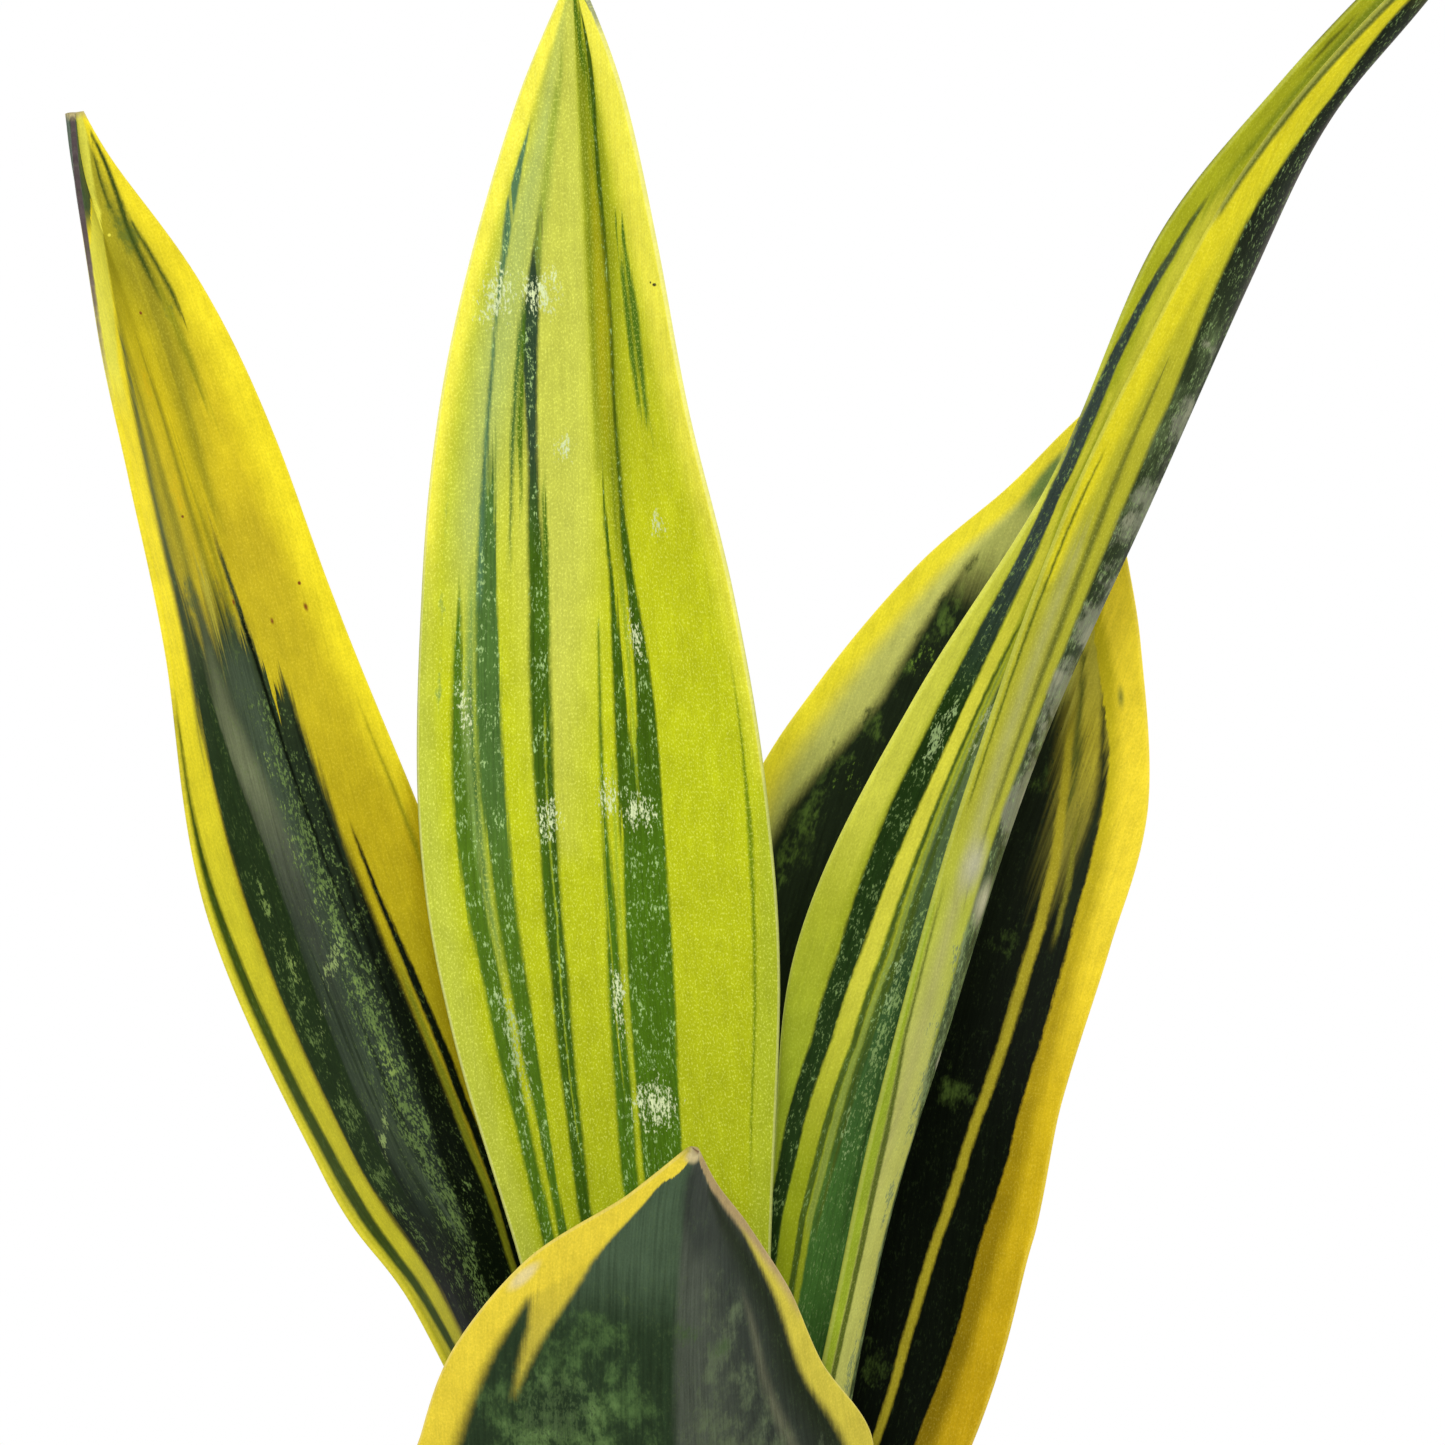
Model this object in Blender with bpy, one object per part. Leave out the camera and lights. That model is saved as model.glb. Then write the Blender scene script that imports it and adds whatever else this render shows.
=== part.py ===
"""Potted golden flame snake plant: five leaves of one rosette in a soil-filled clay pot.

Metres, +Z up. The origin is the centre of the pot's flat base, and the plant's front is towards -Y.
"""
import math
from collections import namedtuple

import bmesh
import bpy
import numpy as np

# Pot, a tapered clay pot with a plain rim band
POT_HEIGHT = 0.115
POT_BASE_RADIUS = 0.046
POT_RIM_RADIUS = 0.065
POT_WALL = 0.0045
POT_FLOOR = 0.006
RIM_BAND_HEIGHT = 0.022
RIM_BAND_STEP = 0.0025
RIM_BAND_TAPER = 0.0010
POT_EDGE_ROUND = 0.0012
POT_EDGE_STEPS = 2
POT_STEPS = 64
DRAIN_HOLE_RADIUS = 0.0045
DRAIN_RING_RADIUS = 0.027
DRAIN_HOLE_COUNT = 4
DRAIN_FIRST_ANGLE = 45
DRAIN_HOLE_SIDES = 20

# Soil, filled to a finger's width below the rim and slightly higher at the plant
SOIL_EDGE_HEIGHT = 0.097
SOIL_CROWN_HEIGHT = 0.101
SOIL_STEPS = 48
SOIL_RINGS = 10
SOIL_FOOT_CLEARANCE = 0.0015

# Clearance between pieces that touch
GAP = 0.0003

# Rhizome, the short buried stem that carries the leaves
RHIZOME_TOP = 0.076
RHIZOME_HEIGHT = 0.020
RHIZOME_LENGTH = 0.048
RHIZOME_WIDTH = 0.046
RHIZOME_CENTRE = (0.001, 0.000)
RHIZOME_LUMPS = 5
RHIZOME_LUMP_SIZE = 0.04
RHIZOME_PRESS = 1.3
RHIZOME_SHOULDER = 0.82

# Holes in the soil: the share of each leaf that stands in or just over its hole, and how much
# deeper than the leaf's foot the hole goes
HOLE_REACH = {
    "leaf_left": 0.25,
    "leaf_centre": 0.25,
    "leaf_right": 0.20,
    "leaf_back": 0.28,
    "leaf_front": 0.42,
}
HOLE_DEPTH_EXTRA = 0.0005

# Leaves
LEAF_FOOT = RHIZOME_TOP + GAP
LEAF_CELLS_ALONG = 34
LEAF_CELLS_ACROSS = 10
RIB_THICKNESS_FOOT = 0.0042
RIB_THICKNESS_TIP = 0.0016
EDGE_THICKNESS = 0.0009
RIB_THINNING = 0.6
RIB_SPREAD = 1.8
CREASE_SOFTNESS = 0.10
MARGIN_CROWDING = 0.35
RIPPLE_OFFSET = 0.3

# Steps for reading a leaf's direction and its surface's slope
SPINE_STEP = 0.02
SURFACE_STEP = 0.002
SPINE_SAMPLES = 600
LEAF_SMOOTH_ANGLE = 50
POT_SMOOTH_ANGLE = 40

# A leaf is lofted through sections. Each has its place on the midrib (x, y, z), the width of the
# half blade at the left and at the right as seen from the front, the way that the seen face turns
# (degrees, 0 to the front, positive to the right), how steeply each half rises from the midrib
# towards the seen face (fold, degrees), and how much steeper it gets by the margin (curl, degrees).
Section = namedtuple("Section", "x y z left right turn fold curl")

# A leaf's margin also waves: height of the wave, waves along the blade, and where they start.
Wave = namedtuple("Wave", "height count start")

LEAVES = {
    "leaf_left": (
        Wave(0.0008, 3.0, 0.2),
        [
            Section(-0.0150, 0.003, LEAF_FOOT, 0.0090, 0.0090, 80, 20, 10),
            Section(-0.0165, 0.003, 0.100, 0.0105, 0.0105, 76, 20, 10),
            Section(-0.0230, 0.003, 0.140, 0.0145, 0.0140, 62, 20, 10),
            Section(-0.0365, 0.005, 0.183, 0.0198, 0.0180, 48, 20, 8),
            Section(-0.0488, 0.007, 0.207, 0.0206, 0.0210, 40, 18, 8),
            Section(-0.0632, 0.009, 0.245, 0.0208, 0.0222, 35, 18, 6),
            Section(-0.0727, 0.010, 0.283, 0.0162, 0.0175, 35, 20, 4),
            Section(-0.0807, 0.011, 0.310, 0.0140, 0.0156, 38, 22, 4),
            Section(-0.0881, 0.012, 0.332, 0.0116, 0.0123, 42, 29, 4),
            Section(-0.0953, 0.012, 0.352, 0.0065, 0.0066, 50, 42, 4),
            Section(-0.0973, 0.012, 0.3635, 0.0022, 0.0022, 55, 52, 0),
        ],
    ),
    "leaf_centre": (
        Wave(0.0004, 3.0, 0.1),
        [
            Section(0.0000, 0.004, LEAF_FOOT, 0.0090, 0.0090, -3, 22, 10),
            Section(0.0000, 0.004, 0.100, 0.0100, 0.0100, -3, 24, 10),
            Section(-0.0040, 0.0035, 0.145, 0.0150, 0.0155, 0, 20, 8),
            Section(-0.0085, 0.004, 0.186, 0.0200, 0.0208, 0, 16, 6),
            Section(-0.0133, 0.005, 0.226, 0.0262, 0.0270, -2, 13, 4),
            Section(-0.0155, 0.006, 0.255, 0.0284, 0.0280, -6, 14, 2),
            Section(-0.0160, 0.007, 0.290, 0.0278, 0.0271, -14, 26, 0),
            Section(-0.0165, 0.008, 0.318, 0.0250, 0.0234, -18, 35, 0),
            Section(-0.0174, 0.009, 0.343, 0.0184, 0.0178, -20, 34, 0),
            Section(-0.0185, 0.009, 0.366, 0.0099, 0.0104, -20, 30, 0),
            Section(-0.0193, 0.009, 0.385, 0.0006, 0.0006, -20, 24, 0),
        ],
    ),
    "leaf_right": (
        Wave(0.0005, 3.88, 0.60),
        [
            Section(0.0165, 0.001, LEAF_FOOT, 0.0080, 0.0090, -80, 20, 20),
            Section(0.0172, 0.001, 0.100, 0.0090, 0.0100, -78, 24, 24),
            Section(0.0190, 0.001, 0.145, 0.0150, 0.0150, -70, 28, 34),
            Section(0.0266, 0.001, 0.190, 0.0181, 0.0170, -60, 28, 40),
            Section(0.0370, 0.002, 0.226, 0.0259, 0.0297, -57, 31, 42),
            Section(0.0510, 0.003, 0.266, 0.0216, 0.0213, -58, 38, 50),
            Section(0.0675, 0.003, 0.303, 0.0166, 0.0198, -62, 44, 54),
            Section(0.0830, 0.004, 0.338, 0.0162, 0.0165, -62, 44, 56),
            Section(0.0950, 0.005, 0.362, 0.0101, 0.0104, -60, 44, 54),
            Section(0.1105, 0.006, 0.381, 0.0079, 0.0098, -58, 40, 50),
            Section(0.1330, 0.008, 0.408, 0.0008, 0.0008, -55, 30, 30),
        ],
    ),
    "leaf_back": (
        Wave(0.0020, 2.3, 0.95),
        [
            Section(0.0020, 0.015, LEAF_FOOT, 0.0110, 0.0100, 0, 18, 8),
            Section(0.0030, 0.016, 0.100, 0.0125, 0.0120, 0, 18, 8),
            Section(0.0220, 0.020, 0.157, 0.0218, 0.0222, -2, 16, 6),
            Section(0.0272, 0.024, 0.190, 0.0254, 0.0274, -4, 14, 4),
            Section(0.0300, 0.027, 0.214, 0.0298, 0.0295, -4, 12, 4),
            Section(0.0365, 0.030, 0.240, 0.0335, 0.0310, -4, 12, 4),
            Section(0.0443, 0.033, 0.262, 0.0291, 0.0294, -4, 12, 4),
            Section(0.0525, 0.036, 0.285, 0.0199, 0.0195, -4, 12, 4),
            Section(0.0585, 0.038, 0.301, 0.0102, 0.0102, -4, 14, 4),
            Section(0.0632, 0.039, 0.312, 0.0051, 0.0049, -4, 16, 4),
            Section(0.0674, 0.040, 0.321, 0.0006, 0.0006, -4, 16, 0),
        ],
    ),
    "leaf_front": (
        Wave(0.0012, 2.07, 0.65),
        [
            Section(0.0000, -0.015, LEAF_FOOT, 0.0115, 0.0115, 0, -14, -6),
            Section(0.0000, -0.016, 0.100, 0.0145, 0.0145, 2, -14, -6),
            Section(-0.0008, -0.021, 0.117, 0.0225, 0.0225, 6, -17, -6),
            Section(-0.0018, -0.028, 0.135, 0.0315, 0.0325, 10, -20, -4),
            Section(-0.0030, -0.035, 0.152, 0.0423, 0.0372, 14, -22, -2),
            Section(-0.0036, -0.042, 0.168, 0.0376, 0.0293, 18, -24, 0),
            Section(-0.0036, -0.049, 0.182, 0.0321, 0.0243, 20, -27, 0),
            Section(-0.0032, -0.055, 0.195, 0.0226, 0.0168, 22, -30, 0),
            Section(-0.0022, -0.060, 0.206, 0.0086, 0.0077, 22, -30, 0),
            Section(-0.0007, -0.064, 0.2145, 0.0010, 0.0010, 22, -28, 0),
        ],
    ),
}

# Colours, linear, with roughness
TERRACOTTA = ((0.42, 0.15, 0.07), 0.85)
SOIL_BROWN = ((0.030, 0.019, 0.012), 0.95)
RHIZOME_ORANGE = ((0.55, 0.30, 0.12), 0.60)
LEAF_COLOURS = {
    "leaf_left": ((0.16, 0.18, 0.05), 0.40),
    "leaf_centre": ((0.52, 0.60, 0.03), 0.40),
    "leaf_right": ((0.33, 0.38, 0.05), 0.40),
    "leaf_back": ((0.06, 0.07, 0.02), 0.40),
    "leaf_front": ((0.06, 0.10, 0.04), 0.40),
}


def clear_scene():
    for thing in list(bpy.data.objects):
        bpy.data.objects.remove(thing, do_unlink=True)


def make_material(name, colour, roughness):
    material = bpy.data.materials.new(name)
    material.use_nodes = True
    shader = material.node_tree.nodes["Principled BSDF"]
    shader.inputs["Base Color"].default_value = (*colour, 1.0)
    shader.inputs["Roughness"].default_value = roughness
    shader.inputs["Metallic"].default_value = 0.0
    material.diffuse_color = (*colour, 1.0)
    return material


def make_object(name, bm, material=None):
    mesh = bpy.data.meshes.new(name)
    bm.to_mesh(mesh)
    bm.free()
    made = bpy.data.objects.new(name, mesh)
    bpy.context.scene.collection.objects.link(made)
    if material is not None:
        mesh.materials.append(material)
    return made


def smooth_through(rows, t):
    """Read a smooth curve through the rows at t, which runs from 0 at the first row to the last."""
    here = np.clip(np.floor(t).astype(int), 0, len(rows) - 2)
    there = here + 1
    before = np.maximum(here - 1, 0)
    after = np.minimum(there + 1, len(rows) - 1)
    f = (t - here)[:, None]
    slope_here = (rows[there] - rows[before]) / 2
    slope_there = (rows[after] - rows[here]) / 2
    return (
        (2 * f**3 - 3 * f**2 + 1) * rows[here]
        + (f**3 - 2 * f**2 + f) * slope_here
        + (3 * f**2 - 2 * f**3) * rows[there]
        + (f**3 - f**2) * slope_there
    )


def place_along(rows, v):
    """Turn v, the share of the midrib's length from the foot, into a place between the sections."""
    t = np.linspace(0, len(rows) - 1, SPINE_SAMPLES)
    spine = smooth_through(rows, t)[:, :3]
    steps = np.linalg.norm(np.diff(spine, axis=0), axis=1)
    length = np.concatenate([[0.0], np.cumsum(steps)])
    return np.interp(v, length / length[-1], t)


def blade_sheet(rows, wave, u, v):
    """Points of a leaf's middle sheet. u is -1 at the left margin, 0 on the midrib, 1 at the right."""
    t = place_along(rows, v)
    row = smooth_through(rows, t)
    last = len(rows) - 1
    ahead = smooth_through(rows, np.minimum(t + SPINE_STEP, last))[:, :3]
    behind = smooth_through(rows, np.maximum(t - SPINE_STEP, 0))[:, :3]
    along = ahead - behind
    along /= np.linalg.norm(along, axis=1)[:, None]
    turn = np.radians(row[:, 5])
    facing = np.stack([np.sin(turn), -np.cos(turn), np.zeros_like(turn)], axis=1)
    across = np.cross(along, facing)
    across /= np.linalg.norm(across, axis=1)[:, None]
    facing = np.cross(across, along)
    side = np.sign(u)
    share = np.abs(u)
    width = np.where(u < 0, row[:, 3], row[:, 4])
    half_curl = np.radians(row[:, 7]) * share / 2
    angle = np.radians(row[:, 6]) + half_curl
    arc = np.sinc(half_curl / np.pi)
    soft_share = np.sqrt(share**2 + CREASE_SOFTNESS**2) - CREASE_SOFTNESS
    out = width * share * np.cos(angle) * arc * side
    rise = width * soft_share * np.sin(angle) * arc
    ripple = np.sin(2 * np.pi * (wave.count * v + wave.start + RIPPLE_OFFSET * side))
    rise += wave.height * share**3 * ripple * np.sin(np.pi * v) ** 0.5
    return row[:, :3] + across * out[:, None] + facing * rise[:, None]


def blade_thickness(u, v, extra):
    rib = RIB_THICKNESS_FOOT + (RIB_THICKNESS_TIP - RIB_THICKNESS_FOOT) * v**RIB_THINNING
    return EDGE_THICKNESS + (rib - EDGE_THICKNESS) * (1 - np.abs(u) ** RIB_SPREAD) + 2 * extra


def blade_points(rows, wave, u, v, face, extra):
    """Points on the seen face (face 1) or the other face (face -1) of a leaf."""
    left = blade_sheet(rows, wave, np.clip(u - SURFACE_STEP, -1, 1), v)
    right = blade_sheet(rows, wave, np.clip(u + SURFACE_STEP, -1, 1), v)
    low = blade_sheet(rows, wave, u, np.clip(v - SURFACE_STEP, 0, 1))
    high = blade_sheet(rows, wave, u, np.clip(v + SURFACE_STEP, 0, 1))
    normal = np.cross(right - left, high - low)
    normal /= np.linalg.norm(normal, axis=1)[:, None]
    half = blade_thickness(u, v, extra) / 2 * face
    return blade_sheet(rows, wave, u, v) + normal * half[:, None]


def leaf_slab(sections, wave, extra=0.0, reach=1.0):
    """A closed leaf up to a share of its length: a grid split into triangles, made a slab and bent."""
    bm = bmesh.new()
    cells = round(LEAF_CELLS_ALONG * reach)
    bmesh.ops.create_grid(bm, x_segments=LEAF_CELLS_ACROSS, y_segments=cells, size=1.0)
    bmesh.ops.triangulate(bm, faces=bm.faces[:])
    raised = bmesh.ops.extrude_face_region(bm, geom=bm.faces[:])
    for item in raised["geom"]:
        if isinstance(item, bmesh.types.BMVert):
            item.co.z = 1.0
    flat = np.array([vert.co[:] for vert in bm.verts])
    u = flat[:, 0] * (1 + MARGIN_CROWDING * (1 - flat[:, 0] ** 2))
    v = (flat[:, 1] + 1) / 2 * reach
    face = np.where(flat[:, 2] > 0.5, 1.0, -1.0)
    rows = np.array(sections, dtype=float)
    if extra:
        rows[:, 3:5] += extra
    points = blade_points(rows, wave, u, v, face, extra)
    for vert, point in zip(bm.verts, points):
        vert.co = point
    bmesh.ops.recalc_face_normals(bm, faces=bm.faces[:])
    return bm


def make_leaf(name):
    wave, sections = LEAVES[name]
    colour, roughness = LEAF_COLOURS[name]
    leaf = make_object(name, leaf_slab(sections, wave), make_material(name, colour, roughness))
    leaf.data.shade_smooth()
    leaf.data.set_sharp_from_angle(angle=math.radians(LEAF_SMOOTH_ANGLE))
    return leaf


def turned_solid(name, profile, steps, material=None):
    """Spin a closed profile, given as (radius, height) points, about the Z axis."""
    bm = bmesh.new()
    verts = [bm.verts.new((radius, 0, height)) for radius, height in profile]
    edges = [bm.edges.new((verts[i - 1], verts[i])) for i in range(1, len(verts))]
    bmesh.ops.spin(
        bm,
        geom=verts + edges,
        cent=(0, 0, 0),
        axis=(0, 0, 1),
        angle=2 * math.pi,
        steps=steps,
        use_merge=True,
    )
    bmesh.ops.remove_doubles(bm, verts=bm.verts[:], dist=0.00001)
    bmesh.ops.recalc_face_normals(bm, faces=bm.faces[:])
    return make_object(name, bm, material)


def outer_radius(height):
    """Radius of the pot's outer wall below the rim band."""
    share = height / POT_HEIGHT
    top = POT_RIM_RADIUS - RIM_BAND_STEP
    return POT_BASE_RADIUS + (top - POT_BASE_RADIUS) * share


def inner_radius(height):
    return outer_radius(height) - POT_WALL


def rounded(corner, before, after, size):
    """Points of a small arc that rounds a profile's corner between the points before and after it."""
    corner = np.array(corner)
    way_in = np.array(before) - corner
    way_out = np.array(after) - corner
    start = corner + way_in / np.linalg.norm(way_in) * size
    end = corner + way_out / np.linalg.norm(way_out) * size
    points = []
    for i in range(POT_EDGE_STEPS + 1):
        t = i / POT_EDGE_STEPS
        points.append(tuple((1 - t) ** 2 * start + 2 * t * (1 - t) * corner + t**2 * end))
    return points


def pot_profile():
    band_foot = POT_HEIGHT - RIM_BAND_HEIGHT
    band_low = POT_RIM_RADIUS - RIM_BAND_TAPER
    corners = [
        (0.0, 0.0),
        (POT_BASE_RADIUS, 0.0),
        (outer_radius(band_foot), band_foot),
        (band_low, band_foot),
        (POT_RIM_RADIUS, POT_HEIGHT),
        (inner_radius(POT_HEIGHT), POT_HEIGHT),
        (inner_radius(POT_FLOOR), POT_FLOOR),
        (0.0, POT_FLOOR),
    ]
    profile = [corners[0]]
    for i in range(1, len(corners) - 1):
        profile += rounded(corners[i], corners[i - 1], corners[i + 1], POT_EDGE_ROUND)
    profile.append(corners[-1])
    return profile


def cut(target, cutters):
    """Cut every cutter from the target, apply the cuts and remove the cutters."""
    for cutter in cutters:
        cutter.hide_render = True
        cutter.display_type = "WIRE"
        tool = target.modifiers.new("cut", "BOOLEAN")
        tool.operation = "DIFFERENCE"
        tool.solver = "EXACT"
        tool.object = cutter
    bpy.context.view_layer.update()
    graph = bpy.context.evaluated_depsgraph_get()
    carved = bpy.data.meshes.new_from_object(target.evaluated_get(graph))
    target.modifiers.clear()
    target.data = carved
    for cutter in cutters:
        bpy.data.objects.remove(cutter, do_unlink=True)


def drain_cutter(index):
    angle = math.radians(DRAIN_FIRST_ANGLE) + 2 * math.pi * index / DRAIN_HOLE_COUNT
    bm = bmesh.new()
    bmesh.ops.create_cone(
        bm,
        cap_ends=True,
        segments=DRAIN_HOLE_SIDES,
        radius1=DRAIN_HOLE_RADIUS,
        radius2=DRAIN_HOLE_RADIUS,
        depth=4 * POT_FLOOR,
    )
    place = (DRAIN_RING_RADIUS * math.cos(angle), DRAIN_RING_RADIUS * math.sin(angle), 0)
    bmesh.ops.translate(bm, verts=bm.verts[:], vec=place)
    return make_object(f"drain_cutter_{index}", bm)


def make_pot():
    colour, roughness = TERRACOTTA
    pot = turned_solid("pot", pot_profile(), POT_STEPS, make_material("pot", colour, roughness))
    cut(pot, [drain_cutter(i) for i in range(DRAIN_HOLE_COUNT)])
    pot.data.shade_smooth()
    pot.data.set_sharp_from_angle(angle=math.radians(POT_SMOOTH_ANGLE))
    return pot


def rhizome_body(name, extra=0.0, material=None):
    """A short thick stem lying in the soil, its top pressed flat where the leaves stand."""
    bm = bmesh.new()
    bmesh.ops.create_uvsphere(bm, u_segments=24, v_segments=14, radius=1.0)
    size = (
        RHIZOME_LENGTH / 2 + extra,
        RHIZOME_WIDTH / 2 + extra,
        RHIZOME_HEIGHT / 2 + extra,
    )
    middle = RHIZOME_TOP - RHIZOME_HEIGHT / 2
    for vert in bm.verts:
        x, y, z = vert.co
        plump = 1 + RHIZOME_LUMP_SIZE * math.sin(RHIZOME_LUMPS * math.atan2(y, x) + 1)
        square = 1 / abs(z) if abs(z) > RHIZOME_SHOULDER else 1.0
        flat_z = max(-1.0, min(1.0, z * RHIZOME_PRESS))
        vert.co = (
            RHIZOME_CENTRE[0] + x * size[0] * plump * square,
            RHIZOME_CENTRE[1] + y * size[1] * plump * square,
            middle + flat_z * size[2],
        )
    bmesh.ops.dissolve_limit(bm, angle_limit=0.0001, verts=bm.verts[:], edges=bm.edges[:])
    bmesh.ops.recalc_face_normals(bm, faces=bm.faces[:])
    return make_object(name, bm, material)


def make_rhizome():
    colour, roughness = RHIZOME_ORANGE
    rhizome = rhizome_body("rhizome", material=make_material("rhizome", colour, roughness))
    rhizome.data.shade_smooth()
    return rhizome


def soil_profile():
    """The soil's half outline: up its side next to the pot's wall, then over its low dome."""
    foot = POT_FLOOR + GAP
    edge = inner_radius(SOIL_EDGE_HEIGHT) - GAP
    points = [(0.0, foot)]
    points.append((inner_radius(foot) - GAP - SOIL_FOOT_CLEARANCE, foot))
    points.append((edge, SOIL_EDGE_HEIGHT))
    dome = SOIL_CROWN_HEIGHT - SOIL_EDGE_HEIGHT
    for i in range(1, SOIL_RINGS + 1):
        share = 1 - i / SOIL_RINGS
        points.append((edge * share, SOIL_EDGE_HEIGHT + dome * math.cos(share * math.pi / 2)))
    return points


def leaf_cutter(name):
    """The hole that a leaf's foot stands in: the foot, a little larger, from the rhizome to the air."""
    wave, sections = LEAVES[name]
    bm = leaf_slab(sections, wave, GAP, HOLE_REACH[name])
    for vert in bm.verts:
        if vert.co.z < LEAF_FOOT + HOLE_DEPTH_EXTRA:
            vert.co.z -= 2 * HOLE_DEPTH_EXTRA
    return make_object(name + "_hole", bm)


def make_soil():
    colour, roughness = SOIL_BROWN
    soil = turned_solid("soil", soil_profile(), SOIL_STEPS, make_material("soil", colour, roughness))
    cutters = [rhizome_body("rhizome_hole", GAP)]
    cutters += [leaf_cutter(name) for name in LEAVES]
    cut(soil, cutters)
    return soil


def build():
    clear_scene()
    make_pot()
    make_soil()
    make_rhizome()
    for name in LEAVES:
        make_leaf(name)


build()
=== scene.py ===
# %% [markdown]
# # A potted golden flame snake plant
#
# Five stiff sword leaves grow from one crown in a clay pot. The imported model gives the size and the
# place of every piece. This lesson dresses it: finer leaves with rounded margins, their yellow and
# green markings, loose potting mix, fired clay, and a pale studio round them.

# %% Load the frame
import math
import random
from collections import namedtuple

import bmesh
import bpy
import numpy as np
from mathutils import Matrix, Vector, noise


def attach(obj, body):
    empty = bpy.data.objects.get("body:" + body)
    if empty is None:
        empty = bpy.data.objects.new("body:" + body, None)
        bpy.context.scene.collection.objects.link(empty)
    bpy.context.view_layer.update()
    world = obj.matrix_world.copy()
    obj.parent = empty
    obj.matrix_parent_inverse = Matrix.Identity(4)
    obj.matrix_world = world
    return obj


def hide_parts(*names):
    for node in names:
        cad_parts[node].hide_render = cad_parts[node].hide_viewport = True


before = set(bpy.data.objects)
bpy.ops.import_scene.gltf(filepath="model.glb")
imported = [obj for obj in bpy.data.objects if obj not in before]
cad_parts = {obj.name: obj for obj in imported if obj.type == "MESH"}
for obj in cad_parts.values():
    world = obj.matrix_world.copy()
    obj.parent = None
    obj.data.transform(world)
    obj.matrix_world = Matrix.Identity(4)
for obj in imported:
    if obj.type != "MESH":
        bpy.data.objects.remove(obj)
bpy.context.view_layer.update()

# %% [markdown]
# ## The camera and the light
#
# The photograph looks a little down at the leaves through a long lens, in front of plain white.
# The camera takes the same place, so every later step can be compared with it. The light is soft and
# comes mostly from the front, as a large softbox above the camera gives it: the half of a folded
# blade that faces the camera is bright, and the half that turns away falls off into shade.

# %% Camera
PHOTO_SIDE = 1445
FOCAL_PIXELS = 5200
SENSOR_WIDTH_MM = 36.0
CAMERA_TARGET = Vector((0.0035, 0.0, 0.270))
CAMERA_DISTANCE = 0.8
CAMERA_ELEVATION = math.radians(5)
NEAREST_SEEN = 0.01


def aim(thing, place, target):
    """Put a camera or a light at a place, looking at a target."""
    thing.location = place
    thing.rotation_euler = (Vector(target) - Vector(place)).to_track_quat("-Z", "Y").to_euler()
    bpy.context.scene.collection.objects.link(thing)
    return thing


lens = bpy.data.cameras.new("camera")
lens.sensor_width = SENSOR_WIDTH_MM
lens.lens = FOCAL_PIXELS / PHOTO_SIDE * SENSOR_WIDTH_MM
lens.clip_start = NEAREST_SEEN
lens.dof.use_dof = False
backwards = Vector((0.0, -math.cos(CAMERA_ELEVATION), math.sin(CAMERA_ELEVATION)))
camera = bpy.data.objects.new("camera", lens)
aim(camera, CAMERA_TARGET + CAMERA_DISTANCE * backwards, CAMERA_TARGET)
bpy.context.scene.camera = camera
print("lens in mm:", round(lens.lens, 1))

# %% Lights
PLANT_MIDDLE = (0.0, 0.0, 0.26)
SOFTBOXES = {
    "front_softbox": {"place": (-0.05, -1.35, 0.75), "power": 14.0, "size": 0.80},
    "right_rim_softbox": {"place": (1.10, 0.60, 0.50), "power": 9.0, "size": 0.70},
    "left_rim_softbox": {"place": (-1.10, 0.60, 0.50), "power": 9.0, "size": 0.70},
    "back_softbox": {"place": (0.00, 1.20, 0.90), "power": 5.0, "size": 0.80},
}
for name, box in SOFTBOXES.items():
    lamp = bpy.data.lights.new(name, "AREA")
    lamp.energy = box["power"]
    lamp.size = box["size"]
    aim(bpy.data.objects.new(name, lamp), box["place"], PLANT_MIDDLE)
print("softboxes:", len(SOFTBOXES))

# %% [markdown]
# The room is white. Seen directly it is pure white, as the photograph's background is. As a light it
# is dimmer, so that the folds of the leaves keep their shade.

# %% White room
ROOM_LIGHT = 0.42
ROOM_SEEN = 1.0

world = bpy.data.worlds.new("white_room")
world.use_nodes = True
bpy.context.scene.world = world
room = world.node_tree
room.nodes.clear()
room_out = room.nodes.new("ShaderNodeOutputWorld")
room_mix = room.nodes.new("ShaderNodeMixShader")
room_path = room.nodes.new("ShaderNodeLightPath")
room.links.new(room_path.outputs["Is Camera Ray"], room_mix.inputs[0])
for slot_number, strength in ((1, ROOM_LIGHT), (2, ROOM_SEEN)):
    white = room.nodes.new("ShaderNodeBackground")
    white.inputs["Color"].default_value = (1.0, 1.0, 1.0, 1.0)
    white.inputs["Strength"].default_value = strength
    room.links.new(white.outputs[0], room_mix.inputs[slot_number])
room.links.new(room_mix.outputs[0], room_out.inputs["Surface"])
bpy.context.scene.view_settings.view_transform = "Standard"
bpy.context.scene.view_settings.look = "None"
print("room light:", ROOM_LIGHT, "and as it is seen:", ROOM_SEEN)

# %% [markdown]
# ## Small helpers for shader nodes
#
# Every finish below is built from shader nodes. A few short helpers keep that readable: one adds a
# node, one feeds a socket with a number, a colour or another node, and a few do the sums that come
# back again and again.

# %% Node helpers
FLOAT = "NodeSocketFloat"
COLOUR = "NodeSocketColor"
VECTOR = "NodeSocketVector"

# The sockets that a Mix node uses when it mixes colours
MIX_SHARE = 0
MIX_UNDER = 6
MIX_OVER = 7
MIX_RESULT = 2


def add_node(tree, kind, **settings):
    node = tree.nodes.new(kind)
    for name, value in settings.items():
        setattr(node, name, value)
    return node


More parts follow.
